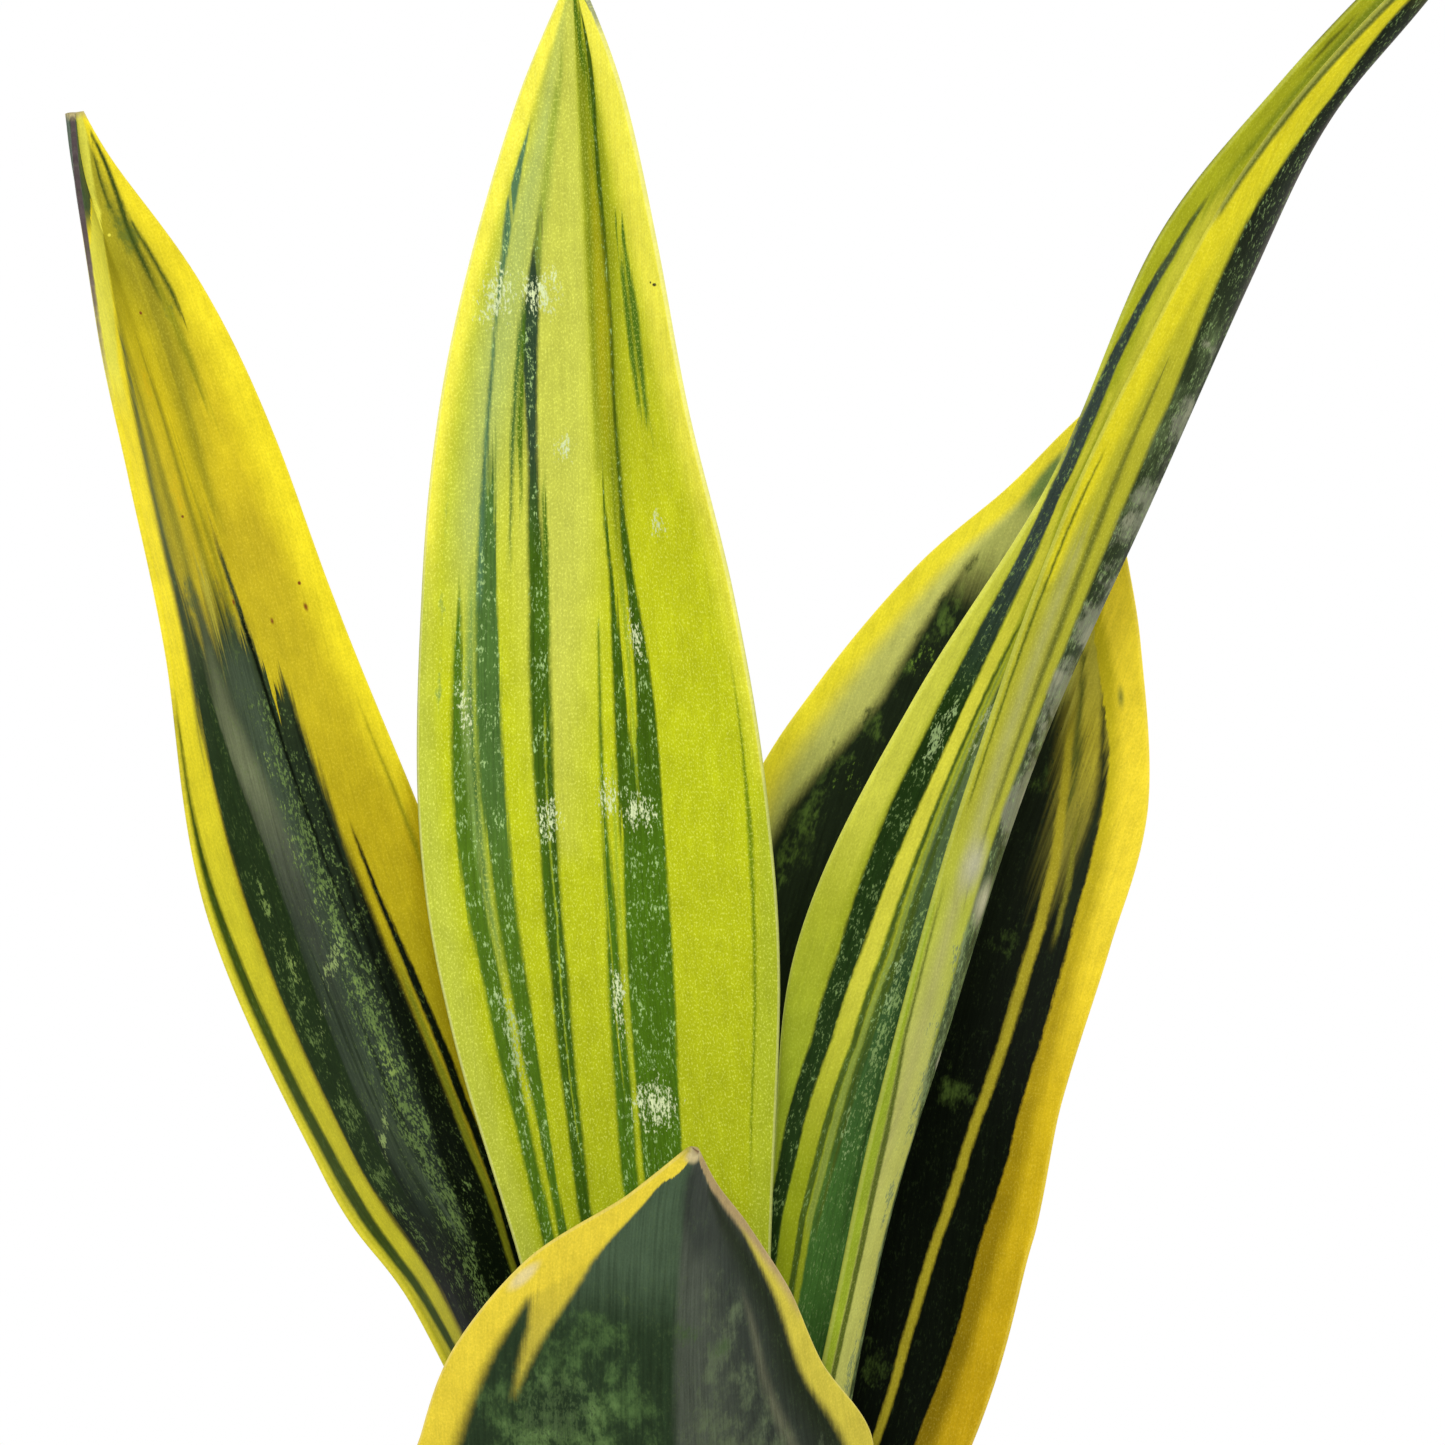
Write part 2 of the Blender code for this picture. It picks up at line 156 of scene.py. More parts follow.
def feed(tree, socket, value):
    """Give a socket a number, a colour or the output of another node."""
    if isinstance(value, bpy.types.NodeSocket):
        tree.links.new(value, socket)
    elif socket.type == "RGBA":
        socket.default_value = (*value[:3], 1.0)
    else:
        socket.default_value = value


print("kinds of socket:", FLOAT, COLOUR, VECTOR)

# %% Sums and masks
def calculate(tree, operation, *values):
    node = add_node(tree, "ShaderNodeMath", operation=operation)
    for socket, value in zip(node.inputs, values):
        feed(tree, socket, value)
    return node.outputs[0]


def times(tree, first, second):
    return calculate(tree, "MULTIPLY", first, second)


def times_plus(tree, first, second, third):
    return calculate(tree, "MULTIPLY_ADD", first, second, third)


def soft_step(tree, value, start, end):
    """0 before start, 1 after end and smooth between them. Start may be the larger of the two."""
    node = add_node(tree, "ShaderNodeMapRange", interpolation_type="SMOOTHSTEP")
    feed(tree, node.inputs["Value"], value)
    feed(tree, node.inputs["From Min"], start)
    feed(tree, node.inputs["From Max"], end)
    return node.outputs[0]


def mix_colours(tree, mask, under, over, way="MIX"):
    node = add_node(tree, "ShaderNodeMix", data_type="RGBA", blend_type=way)
    feed(tree, node.inputs[MIX_SHARE], mask)
    feed(tree, node.inputs[MIX_UNDER], under)
    feed(tree, node.inputs[MIX_OVER], over)
    return node.outputs[MIX_RESULT]


print("sockets of a colour mix:", MIX_SHARE, MIX_UNDER, MIX_OVER, MIX_RESULT)

# %% Patterns, groups and materials
def scaled(tree, vector, scale, shift=(0.0, 0.0, 0.0)):
    """Stretch a pattern's coordinates, and slide them so that two patterns differ."""
    node = add_node(tree, "ShaderNodeMapping")
    feed(tree, node.inputs["Vector"], vector)
    feed(tree, node.inputs["Scale"], scale)
    feed(tree, node.inputs["Location"], shift)
    return node.outputs[0]


def noise_value(tree, vector, scale=1.0, detail=2.0, roughness=0.5):
    node = add_node(tree, "ShaderNodeTexNoise")
    feed(tree, node.inputs["Vector"], vector)
    feed(tree, node.inputs["Scale"], scale)
    feed(tree, node.inputs["Detail"], detail)
    feed(tree, node.inputs["Roughness"], roughness)
    return node.outputs[0]


def relief(tree, shader, height, strength, depth):
    """Give a finish a fine relief of a strength, and a depth in metres."""
    node = add_node(tree, "ShaderNodeBump")
    node.inputs["Strength"].default_value = strength
    node.inputs["Distance"].default_value = depth
    feed(tree, node.inputs["Height"], height)
    feed(tree, shader["Normal"], node.outputs[0])


def new_group(name, inputs, outputs):
    """A shader node group with named inputs (name, type, default) and named outputs (name, type)."""
    tree = bpy.data.node_groups.new(name, "ShaderNodeTree")
    for label, kind, default in inputs:
        socket = tree.interface.new_socket(name=label, in_out="INPUT", socket_type=kind)
        socket.default_value = default
    for label, kind in outputs:
        tree.interface.new_socket(name=label, in_out="OUTPUT", socket_type=kind)
    return tree, tree.nodes.new("NodeGroupInput").outputs, tree.nodes.new("NodeGroupOutput").inputs


def use_group(tree, group, **values):
    node = add_node(tree, "ShaderNodeGroup", node_tree=group)
    for label, value in values.items():
        feed(tree, node.inputs[label], value)
    return node.outputs


def new_material(name):
    material = bpy.data.materials.new(name)
    material.use_nodes = True
    tree = material.node_tree
    return material, tree, tree.nodes["Principled BSDF"].inputs


print("materials of the packed model:", len(bpy.data.materials))

# %% [markdown]
# ## The leaves' shape
#
# A snake plant leaf is a thick strap folded along its midrib. It could be sculpted, but a loft says
# better what it is: a few sections up the midrib, each with a width at either side, the way that its
# face turns, and the fold of its halves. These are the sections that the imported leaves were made
# from. The scene reads the same surface on a much finer grid, so the finer leaf keeps the leaf's form.

# %% Sections of the five leaves
LEAF_FOOT = 0.0763
RIB_THICKNESS_FOOT = 0.0042
RIB_THICKNESS_TIP = 0.0016
EDGE_THICKNESS = 0.0009
RIB_THINNING = 0.6
RIB_SPREAD = 1.8
CREASE_SOFTNESS = 0.10
MARGIN_CROWDING = 0.35
RIPPLE_OFFSET = 0.3
SPINE_STEP = 0.02
SURFACE_STEP = 0.002
SPINE_SAMPLES = 600
MOST_INSET = 0.5

# A section holds the place on the midrib and the widths of the left and the right half in metres, then
# its turn, fold and curl in degrees. These are the columns that are read one by one.
Z, LEFT_WIDTH, RIGHT_WIDTH, TURN, FOLD, CURL = range(2, 8)

# Height of the ripple in a leaf's margin, ripples along the leaf, and where they start
Wave = namedtuple("Wave", "height count start")

LEAVES = {
    "leaf_left": (Wave(0.0008, 3.0, 0.2), [
        (-0.0150, 0.003, LEAF_FOOT, 0.0090, 0.0090, 80, 20, 10),
        (-0.0165, 0.003, 0.100, 0.0105, 0.0105, 76, 20, 10),
        (-0.0230, 0.003, 0.140, 0.0145, 0.0140, 62, 20, 10),
        (-0.0365, 0.005, 0.183, 0.0198, 0.0180, 48, 20, 8),
        (-0.0488, 0.007, 0.207, 0.0206, 0.0210, 40, 18, 8),
        (-0.0632, 0.009, 0.245, 0.0208, 0.0222, 35, 18, 6),
        (-0.0727, 0.010, 0.283, 0.0162, 0.0175, 35, 20, 4),
        (-0.0807, 0.011, 0.310, 0.0140, 0.0156, 38, 22, 4),
        (-0.0881, 0.012, 0.332, 0.0116, 0.0123, 42, 29, 4),
        (-0.0953, 0.012, 0.352, 0.0065, 0.0066, 50, 42, 4),
        (-0.0973, 0.012, 0.3635, 0.0022, 0.0022, 55, 52, 0),
    ]),
    "leaf_centre": (Wave(0.0004, 3.0, 0.1), [
        (0.0000, 0.004, LEAF_FOOT, 0.0090, 0.0090, -3, 22, 10),
        (0.0000, 0.004, 0.100, 0.0100, 0.0100, -3, 24, 10),
        (-0.0040, 0.0035, 0.145, 0.0150, 0.0155, 0, 20, 8),
        (-0.0085, 0.004, 0.186, 0.0200, 0.0208, 0, 16, 6),
        (-0.0133, 0.005, 0.226, 0.0262, 0.0270, -2, 13, 4),
        (-0.0155, 0.006, 0.255, 0.0284, 0.0280, -6, 14, 2),
        (-0.0160, 0.007, 0.290, 0.0278, 0.0271, -14, 26, 0),
        (-0.0165, 0.008, 0.318, 0.0250, 0.0234, -18, 35, 0),
        (-0.0174, 0.009, 0.343, 0.0184, 0.0178, -20, 34, 0),
        (-0.0185, 0.009, 0.366, 0.0099, 0.0104, -20, 30, 0),
        (-0.0193, 0.009, 0.385, 0.0006, 0.0006, -20, 24, 0),
    ]),
    "leaf_right": (Wave(0.0005, 3.88, 0.60), [
        (0.0165, 0.001, LEAF_FOOT, 0.0080, 0.0090, -80, 20, 20),
        (0.0172, 0.001, 0.100, 0.0090, 0.0100, -78, 24, 24),
        (0.0190, 0.001, 0.145, 0.0150, 0.0150, -70, 28, 34),
        (0.0266, 0.001, 0.190, 0.0181, 0.0170, -60, 28, 40),
        (0.0370, 0.002, 0.226, 0.0259, 0.0297, -57, 31, 42),
        (0.0510, 0.003, 0.266, 0.0216, 0.0213, -58, 38, 50),
        (0.0675, 0.003, 0.303, 0.0166, 0.0198, -62, 44, 54),
        (0.0830, 0.004, 0.338, 0.0162, 0.0165, -62, 44, 56),
        (0.0950, 0.005, 0.362, 0.0101, 0.0104, -60, 44, 54),
        (0.1105, 0.006, 0.381, 0.0079, 0.0098, -58, 40, 50),
        (0.1330, 0.008, 0.408, 0.0008, 0.0008, -55, 30, 30),
    ]),
    "leaf_back": (Wave(0.0020, 2.3, 0.95), [
        (0.0020, 0.015, LEAF_FOOT, 0.0110, 0.0100, 0, 18, 8),
        (0.0030, 0.016, 0.100, 0.0125, 0.0120, 0, 18, 8),
        (0.0220, 0.020, 0.157, 0.0218, 0.0222, -2, 16, 6),
        (0.0272, 0.024, 0.190, 0.0254, 0.0274, -4, 14, 4),
        (0.0300, 0.027, 0.214, 0.0298, 0.0295, -4, 12, 4),
        (0.0365, 0.030, 0.240, 0.0335, 0.0310, -4, 12, 4),
        (0.0443, 0.033, 0.262, 0.0291, 0.0294, -4, 12, 4),
        (0.0525, 0.036, 0.285, 0.0199, 0.0195, -4, 12, 4),
        (0.0585, 0.038, 0.301, 0.0102, 0.0102, -4, 14, 4),
        (0.0632, 0.039, 0.312, 0.0051, 0.0049, -4, 16, 4),
        (0.0674, 0.040, 0.321, 0.0006, 0.0006, -4, 16, 0),
    ]),
    "leaf_front": (Wave(0.0012, 2.07, 0.65), [
        (0.0000, -0.015, LEAF_FOOT, 0.0115, 0.0115, 0, -14, -6),
        (0.0000, -0.016, 0.100, 0.0145, 0.0145, 2, -14, -6),
        (-0.0008, -0.021, 0.117, 0.0225, 0.0225, 6, -17, -6),
        (-0.0018, -0.028, 0.135, 0.0315, 0.0325, 10, -20, -4),
        (-0.0030, -0.035, 0.152, 0.0423, 0.0372, 14, -22, -2),
        (-0.0036, -0.042, 0.168, 0.0376, 0.0293, 18, -24, 0),
        (-0.0036, -0.049, 0.182, 0.0321, 0.0243, 20, -27, 0),
        (-0.0032, -0.055, 0.195, 0.0226, 0.0168, 22, -30, 0),
        (-0.0022, -0.060, 0.206, 0.0086, 0.0077, 22, -30, 0),
        (-0.0007, -0.064, 0.2145, 0.0010, 0.0010, 22, -28, 0),
    ]),
}
print("leaves:", ", ".join(LEAVES))

# %% [markdown]
# The surface is read in two steps. The sections are joined by a smooth curve up the midrib, and at
# each height the blade is swept out from the midrib to both sides, rising with the fold and the curl.
# u runs from -1 at the left margin over 0 on the midrib to 1 at the right margin, and v from 0 at the
# leaf's foot to 1 at its tip.

# %% A smooth midrib
def smooth_through(rows, t):
    """Read a smooth curve through the rows at t, which runs from 0 at the first row to the last."""
    here = np.clip(np.floor(t).astype(int), 0, len(rows) - 2)
    there = here + 1
    before = np.maximum(here - 1, 0)
    after = np.minimum(there + 1, len(rows) - 1)
    f = (t - here)[:, None]
    slope_here = (rows[there] - rows[before]) / 2
    slope_there = (rows[after] - rows[here]) / 2
    return (
        (2 * f**3 - 3 * f**2 + 1) * rows[here]
        + (f**3 - 2 * f**2 + f) * slope_here
        + (3 * f**2 - 2 * f**3) * rows[there]
        + (f**3 - f**2) * slope_there
    )


def spine_lengths(rows):
    """Places between the sections, and the midrib's length from the foot to each of them."""
    t = np.linspace(0, len(rows) - 1, SPINE_SAMPLES)
    steps = np.linalg.norm(np.diff(smooth_through(rows, t)[:, :3], axis=0), axis=1)
    return t, np.concatenate([[0.0], np.cumsum(steps)])


def section_at(rows, v):
    t, length = spine_lengths(rows)
    place = np.interp(v, length / length[-1], t)
    return place, smooth_through(rows, place)


for name, (wave, sections) in LEAVES.items():
    print(name, "length in mm:", round(1000 * spine_lengths(np.array(sections, dtype=float))[1][-1]))

# %% The surface of a leaf
def blade_sheet(rows, wave, u, v):
    """Points of a leaf's middle sheet."""
    t, row = section_at(rows, v)
    last = len(rows) - 1
    ahead = smooth_through(rows, np.minimum(t + SPINE_STEP, last))[:, :3]
    behind = smooth_through(rows, np.maximum(t - SPINE_STEP, 0))[:, :3]
    along = ahead - behind
    along /= np.linalg.norm(along, axis=1)[:, None]
    turn = np.radians(row[:, TURN])
    facing = np.stack([np.sin(turn), -np.cos(turn), np.zeros_like(turn)], axis=1)
    across = np.cross(along, facing)
    across /= np.linalg.norm(across, axis=1)[:, None]
    facing = np.cross(across, along)
    side = np.sign(u)
    share = np.abs(u)
    width = np.where(u < 0, row[:, LEFT_WIDTH], row[:, RIGHT_WIDTH])
    half_curl = np.radians(row[:, CURL]) * share / 2
    angle = np.radians(row[:, FOLD]) + half_curl
    arc = np.sinc(half_curl / np.pi)
    soft_share = np.sqrt(share**2 + CREASE_SOFTNESS**2) - CREASE_SOFTNESS
    out = width * share * np.cos(angle) * arc * side
    rise = width * soft_share * np.sin(angle) * arc
    ripple = np.sin(2 * np.pi * (wave.count * v + wave.start + RIPPLE_OFFSET * side))
    rise += wave.height * share**3 * ripple * np.sin(np.pi * v) ** 0.5
    return row[:, :3] + across * out[:, None] + facing * rise[:, None]


def blade_normal(rows, wave, u, v):
    left = blade_sheet(rows, wave, np.clip(u - SURFACE_STEP, -1, 1), v)
    right = blade_sheet(rows, wave, np.clip(u + SURFACE_STEP, -1, 1), v)
    low = blade_sheet(rows, wave, u, np.clip(v - SURFACE_STEP, 0, 1))
    high = blade_sheet(rows, wave, u, np.clip(v + SURFACE_STEP, 0, 1))
    normal = np.cross(right - left, high - low)
    return normal / np.linalg.norm(normal, axis=1)[:, None]


def blade_thickness(u, v):
    rib = RIB_THICKNESS_FOOT + (RIB_THICKNESS_TIP - RIB_THICKNESS_FOOT) * v**RIB_THINNING
    return EDGE_THICKNESS + (rib - EDGE_THICKNESS) * (1 - np.abs(u) ** RIB_SPREAD)


print("thickness at the foot in mm:", round(1000 * blade_thickness(0.0, 0.0), 1))

# %% [markdown]
# A grown leaf isn't as even as a formula. Long shallow flutes run up it over the bundles of fibres,
# and growth leaves a few broad swells. Both are worked into the surface as sums of slow waves, and
# both fade out before the margin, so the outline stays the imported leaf's.

# %% Flutes and swells
FLUTE_HEIGHT = 0.00010
SWELL_HEIGHT = 0.00035
FLUTES = ((9.0, 1.3, 0.2), (15.0, -2.1, 1.9), (23.0, 2.7, 4.0))
SWELLS = ((1.3, 3.1, 0.7), (-2.0, 5.2, 2.2), (2.4, 7.7, 5.1))
SWELLS_ALONG = 2
SWELL_SHIFT = 2
RELIEF_FADE = 8


def surface_relief(u, v, start):
    """Height of the flutes and swells above the plain blade. Start makes each leaf's pattern its own."""
    flutes = sum(np.sin(across * u + along * v + phase + start) for across, along, phase in FLUTES)
    swells = sum(
        np.sin(across * u + along * v * SWELLS_ALONG + phase + SWELL_SHIFT * start)
        for across, along, phase in SWELLS
    )
    fade = (1 - u**2) * np.clip(RELIEF_FADE * v * (1 - v), 0, 1)
    return (FLUTE_HEIGHT * flutes + SWELL_HEIGHT * swells) / len(FLUTES) * fade


print("waves in a leaf's relief:", len(FLUTES) + len(SWELLS))

# %% [markdown]
# The mesh starts as a flat grid, extruded into a slab. The short posts at its rim are cut into
# steps, which then bend round the margin as a half circle, so that the thin edge catches the light as
# a real one does. Two UV maps go with it. One holds the place on the blade: u, and the height of the
# midrib beside it. The other holds the true distance across and along the skin, for patterns that
# have a real size. An attribute says which face a point is on.

# %% A slab for a leaf
CELLS_ACROSS = 44
CELLS_ALONG = 190
RIM_CUTS = 3
RELIEF_SHIFT = 1.7


def slab(cells_across, cells_along):
    """A slab from a grid, with x and y from -1 to 1 and z from 0 to 1, its rim cut into steps."""
    bm = bmesh.new()
    bmesh.ops.create_grid(bm, x_segments=cells_across, y_segments=cells_along, size=1.0)
    raised = bmesh.ops.extrude_face_region(bm, geom=bm.faces[:])
    for item in raised["geom"]:
        if isinstance(item, bmesh.types.BMVert):
            item.co.z = 1.0
    posts = [edge for edge in bm.edges if abs(edge.verts[0].co.z - edge.verts[1].co.z) > 0.5]
    bmesh.ops.subdivide_edges(bm, edges=posts, cuts=RIM_CUTS)
    return bm


print("cells of a blade:", CELLS_ACROSS, "by", CELLS_ALONG)

# %% Bend the slab into a leaf
def fine_leaf(name, start):
    wave, sections = LEAVES[name]
    rows = np.array(sections, dtype=float)
    bm = slab(CELLS_ACROSS, CELLS_ALONG)
    flat = np.array([vert.co[:] for vert in bm.verts])
    v = (flat[:, 1] + 1) / 2
    u = flat[:, 0] * (1 + MARGIN_CROWDING * (1 - flat[:, 0] ** 2))
    lean = (flat[:, 2] * 2 - 1) * math.pi / 2
    row = section_at(rows, v)[1]
    width = np.where(u < 0, row[:, LEFT_WIDTH], row[:, RIGHT_WIDTH])
    inset = EDGE_THICKNESS / 2 / width * (1 - np.cos(lean))
    u = u * (1 - np.clip(inset, 0, MOST_INSET))
    face = np.sin(lean)
    normal = blade_normal(rows, wave, u, v)
    offset = blade_thickness(u, v) / 2 * face + surface_relief(u, v, start)
    points = blade_sheet(rows, wave, u, v) + normal * offset[:, None]
    height = row[:, Z]
    length = spine_lengths(rows)[1][-1] * v
    place_map = bm.loops.layers.uv.new("place")
    skin_map = bm.loops.layers.uv.new("skin")
    outer_layer = bm.verts.layers.float.new("outer")
    for vert, point, side in zip(bm.verts, points, face):
        vert.co = point
        vert[outer_layer] = (1 - side) / 2
    bm.verts.index_update()
    for bm_face in bm.faces:
        bm_face.smooth = True
        for loop in bm_face.loops:
            i = loop.vert.index
            loop[place_map].uv = (u[i], height[i])
            loop[skin_map].uv = (u[i] * width[i], length[i])
    bmesh.ops.recalc_face_normals(bm, faces=bm.faces[:])
    return finish_piece("fine_" + name, bm)


def finish_piece(name, bm):
    """Turn a bmesh into an object at the origin."""
    mesh = bpy.data.meshes.new(name)
    bm.to_mesh(mesh)
    bm.free()
    piece = bpy.data.objects.new(name, mesh)
    bpy.context.scene.collection.objects.link(piece)
    return piece


print("steps round the margin:", RIM_CUTS + 1)

# %% Make the fine leaves
fine_leaves = {}
for number, name in enumerate(LEAVES):
    leaf = fine_leaf(name, RELIEF_SHIFT * number)
    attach(leaf, "root")
    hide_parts(name)
    fine_leaves[name] = leaf
    print(name, "faces:", len(leaf.data.polygons))

# %% [markdown]
# ## Patterns in the skin of a leaf
#
# The yellow and green of a variegated leaf are two kinds of tissue that grow up the blade in long
# files of cells. That is why its markings are stripes, why a stripe ends in a ragged brush of fibres,
# and why the green is dusted with pale specks. The skin group makes these patterns once, from the true
# distances over the skin, and every leaf uses it with its own shift.

# %% Skin patterns
# Name, stretch across and along in waves a metre, detail, roughness, and the shift of its own
SKIN_NOISES = {
    "fibres": ((2100.0, 55.0, 1.0), 3.0, 0.60, (0.0, 0.0, 0.0)),
    "strands": ((700.0, 14.0, 1.0), 2.0, 0.55, (4.2, 8.1, 0.0)),
    "teeth": ((1700.0, 700.0, 1.0), 2.0, 0.65, (2.6, 6.3, 0.0)),
    "meander": ((120.0, 40.0, 1.0), 2.0, 0.50, (0.0, 0.0, 0.0)),
    "specks": ((2900.0, 1150.0, 1.0), 2.0, 0.65, (0.0, 0.0, 0.0)),
    "grit": ((3600.0, 2300.0, 1.0), 1.0, 0.60, (5.3, 2.9, 0.0)),
    "clumps": ((620.0, 260.0, 1.0), 3.0, 0.65, (3.1, 1.7, 0.0)),
    "blotches": ((150.0, 120.0, 1.0), 4.0, 0.60, (7.7, 2.3, 0.0)),
    "cross": ((40.0, 120.0, 1.0), 4.0, 0.60, (1.9, 9.4, 0.0)),
}

# Patterns that are one noise each, and patterns that blend several noises in these shares
PLAIN_PATTERNS = ("Fibres", "Strands", "Teeth", "Meander", "Specks", "Grit")
BLENDED_PATTERNS = {
    "Mottle": {"specks": 0.38, "clumps": 0.30, "blotches": 0.32},
    "Clouds": {"blotches": 0.60, "clumps": 0.25, "specks": 0.15},
    "Bands": {"cross": 0.70, "clumps": 0.18, "specks": 0.12},
    "Dust": {"specks": 0.60, "clumps": 0.40},
    "Tone": {"clumps": 0.50, "blotches": 0.50},
}


def skin_group():
    inputs = [("Skin", VECTOR, (0.0, 0.0, 0.0)), ("Shift", VECTOR, (0.0, 0.0, 0.0))]
    outputs = [(name, FLOAT) for name in (*PLAIN_PATTERNS, *BLENDED_PATTERNS)]
    tree, given, result = new_group("leaf_skin", inputs, outputs)
    move = add_node(tree, "ShaderNodeVectorMath", operation="ADD")
    feed(tree, move.inputs[0], given["Skin"])
    feed(tree, move.inputs[1], given["Shift"])
    raw = {
        name: noise_value(tree, scaled(tree, move.outputs[0], stretch, shift), 1.0, detail, roughness)
        for name, (stretch, detail, roughness, shift) in SKIN_NOISES.items()
    }
    for name in PLAIN_PATTERNS:
        feed(tree, result[name], raw[name.lower()])
    for name, shares in BLENDED_PATTERNS.items():
        total = 0.0
        for noise_name, share in shares.items():
            total = times_plus(tree, raw[noise_name], share, total)
        feed(tree, result[name], total)
    return tree


LEAF_SKIN = skin_group()
print("skin patterns made from", len(SKIN_NOISES), "noises")

# %% [markdown]
# A marking is a stripe that wanders up the blade. It is given by a few knots, each with a height in
# millimetres, the stripe's middle and half its width as shares of the half blade. A colour ramp over
# the height carries those numbers, smoothly joined: red holds the middle, green the half width, and
# blue fades the stripe out past its ends. The stripe group turns them into a mask. A spot is simpler:
# a soft ellipse with a place and a size.

# %% Stripes on a blade
LOWEST_MM = 70.0
HIGHEST_MM = 410.0


def stripe_group():
    inputs = [("Across", FLOAT, 0.0), ("Path", COLOUR, (0.5, 0.1, 1.0, 1.0)), ("Softness", FLOAT, 0.02)]
    tree, given, result = new_group("leaf_stripe", inputs, [("Mask", FLOAT)])
    path = add_node(tree, "ShaderNodeSeparateColor")
    feed(tree, path.inputs[0], given["Path"])
    middle = times_plus(tree, path.outputs[0], 2.0, -1.0)
    away = calculate(tree, "ABSOLUTE", calculate(tree, "SUBTRACT", given["Across"], middle))
    outside = calculate(tree, "ADD", path.outputs[1], given["Softness"])
    inside = calculate(tree, "SUBTRACT", path.outputs[1], given["Softness"])
    edge = soft_step(tree, away, outside, inside)
    feed(tree, result["Mask"], times(tree, edge, path.outputs[2]))
    return tree


LEAF_STRIPE = stripe_group()
print("nodes of a stripe:", len(LEAF_STRIPE.nodes))

# %% Spots on a blade
def spot_group():
    inputs = [
        ("Place", VECTOR, (0.0, 0.0, 0.0)),
        ("Middle", VECTOR, (0.0, 0.0, 0.0)),
        ("Size", VECTOR, (1.0, 1.0, 1.0)),
        ("Softness", FLOAT, 0.5),
    ]
    tree, given, result = new_group("leaf_spot", inputs, [("Mask", FLOAT)])
    away = add_node(tree, "ShaderNodeVectorMath", operation="SUBTRACT")
    feed(tree, away.inputs[0], given["Place"])
    feed(tree, away.inputs[1], given["Middle"])
    share = add_node(tree, "ShaderNodeVectorMath", operation="DIVIDE")
    feed(tree, share.inputs[0], away.outputs[0])
    feed(tree, share.inputs[1], given["Size"])
    reach = add_node(tree, "ShaderNodeVectorMath", operation="LENGTH")
    feed(tree, reach.inputs[0], share.outputs[0])
    inside = calculate(tree, "SUBTRACT", 1.0, given["Softness"])
    feed(tree, result["Mask"], soft_step(tree, reach.outputs["Value"], 1.0, inside))
    return tree


LEAF_SPOT = spot_group()
print("nodes of a spot:", len(LEAF_SPOT.nodes))

# %% Paints and paths up a blade
def height_ramp(tree, height_share, stops):
    """A colour ramp over the blade's height. Stops are (height in mm, (red, green, blue))."""
    node = add_node(tree, "ShaderNodeValToRGB")
    elements = node.color_ramp.elements
    while len(elements) < len(stops):
        elements.new(0.5)
    for element, (height, colour) in zip(elements, sorted(stops)):
        element.position = min(max((height - LOWEST_MM) / (HIGHEST_MM - LOWEST_MM), 0.0), 1.0)
        element.color = (*colour, 1.0)
    feed(tree, node.inputs[0], height_share)
    return node.outputs[0]


def stripe_path(tree, height_share, knots, fade):
    """The ramp of a stripe's middle, half width and strength."""
    knots = sorted(knots)
    stops = [(height, ((middle + 1) / 2, half, 1.0)) for height, middle, half in knots]
    for (height, middle, half), step in ((knots[0], -fade), (knots[-1], fade)):
        stops.append((height + step, ((middle + 1) / 2, half, 0.0)))
    return height_ramp(tree, height_share, stops)


print("markings may run from", LOWEST_MM, "to", HIGHEST_MM, "mm")

# %% [markdown]
# A leaf's finish is a ground that changes up the blade, with its markings laid over it in order. A
# paint is one colour, or colours at several heights. The grain of a marking says how it joins the
# ground: a plain one has a clean edge, a ragged one ends in fibres, a threaded one shows threads of
# the ground inside it, and the rest are broken up by a skin pattern, more finely where the mask is
# weak. Green tissue carries pale flecks, and yellow tissue doesn't, so the markings also say which
# kind they are. A marking may be on one face only.

# %% Kinds of marking
Marking = namedtuple(
    "Marking", "name paint knots soft grain side tissue fade", defaults=(0.02, "plain", "both", "same", 3.0)
)
Spot = namedtuple("Spot", "name paint u height_mm half_u half_mm soft grain", defaults=(0.6, "plain"))
LeafSkin = namedtuple("LeafSkin", "tissue fleck_paint flecks grain_paint grain rim_paint rim shift roughness")

# How each broken grain is cut: its pattern, where the cut starts and ends, and how far a mask moves it
Cut = namedtuple("Cut", "pattern start end reach")
CUTS = {
    "dust": Cut("Dust", 0.455, 0.56, 0.17),
    "mottle": Cut("Mottle", 0.49, 0.57, 0.13),
    "clouds": Cut("Clouds", 0.44, 0.62, 0.18),
    "bands": Cut("Bands", 0.45, 0.56, 0.18),
}
FLECKS = Cut("Dust", 0.53, 0.64, 0.14)
GRAINS = Cut("Grit", 0.52, 0.72, 0.0)
GRIT = 0.38
RAGGED_FIBRES_M = 0.018
RAGGED_STRANDS_M = 0.028
CALM_FIBRES_M = 0.003
WANDERS = (("Meander", 0.014), ("Fibres", 0.014), ("Teeth", 0.020))
THREADS = (0.53, 0.62)
THREAD_STRENGTH = 0.60
STREAKS = 0.30
GREEN_STREAKS = 0.80
TONE = 0.75
FOOT_PALE = (0.50, 0.48, 0.22)
FOOT_PALE_M = (0.118, 0.076)
FOOT_PALE_SHARE = 0.75
MASK_FOOT = 0.15
RIM = (0.02, 0.10)
FIBRE_ROUGHNESS = 0.16
BLOOM_ROUGHNESS = 0.30
SPECK_RELIEF = 0.45
SKIN_RELIEF = 0.28
SKIN_RELIEF_DEPTH = 0.00010
SKIN_SPECULAR = 0.03
print("a marking has:", ", ".join(Marking._fields))

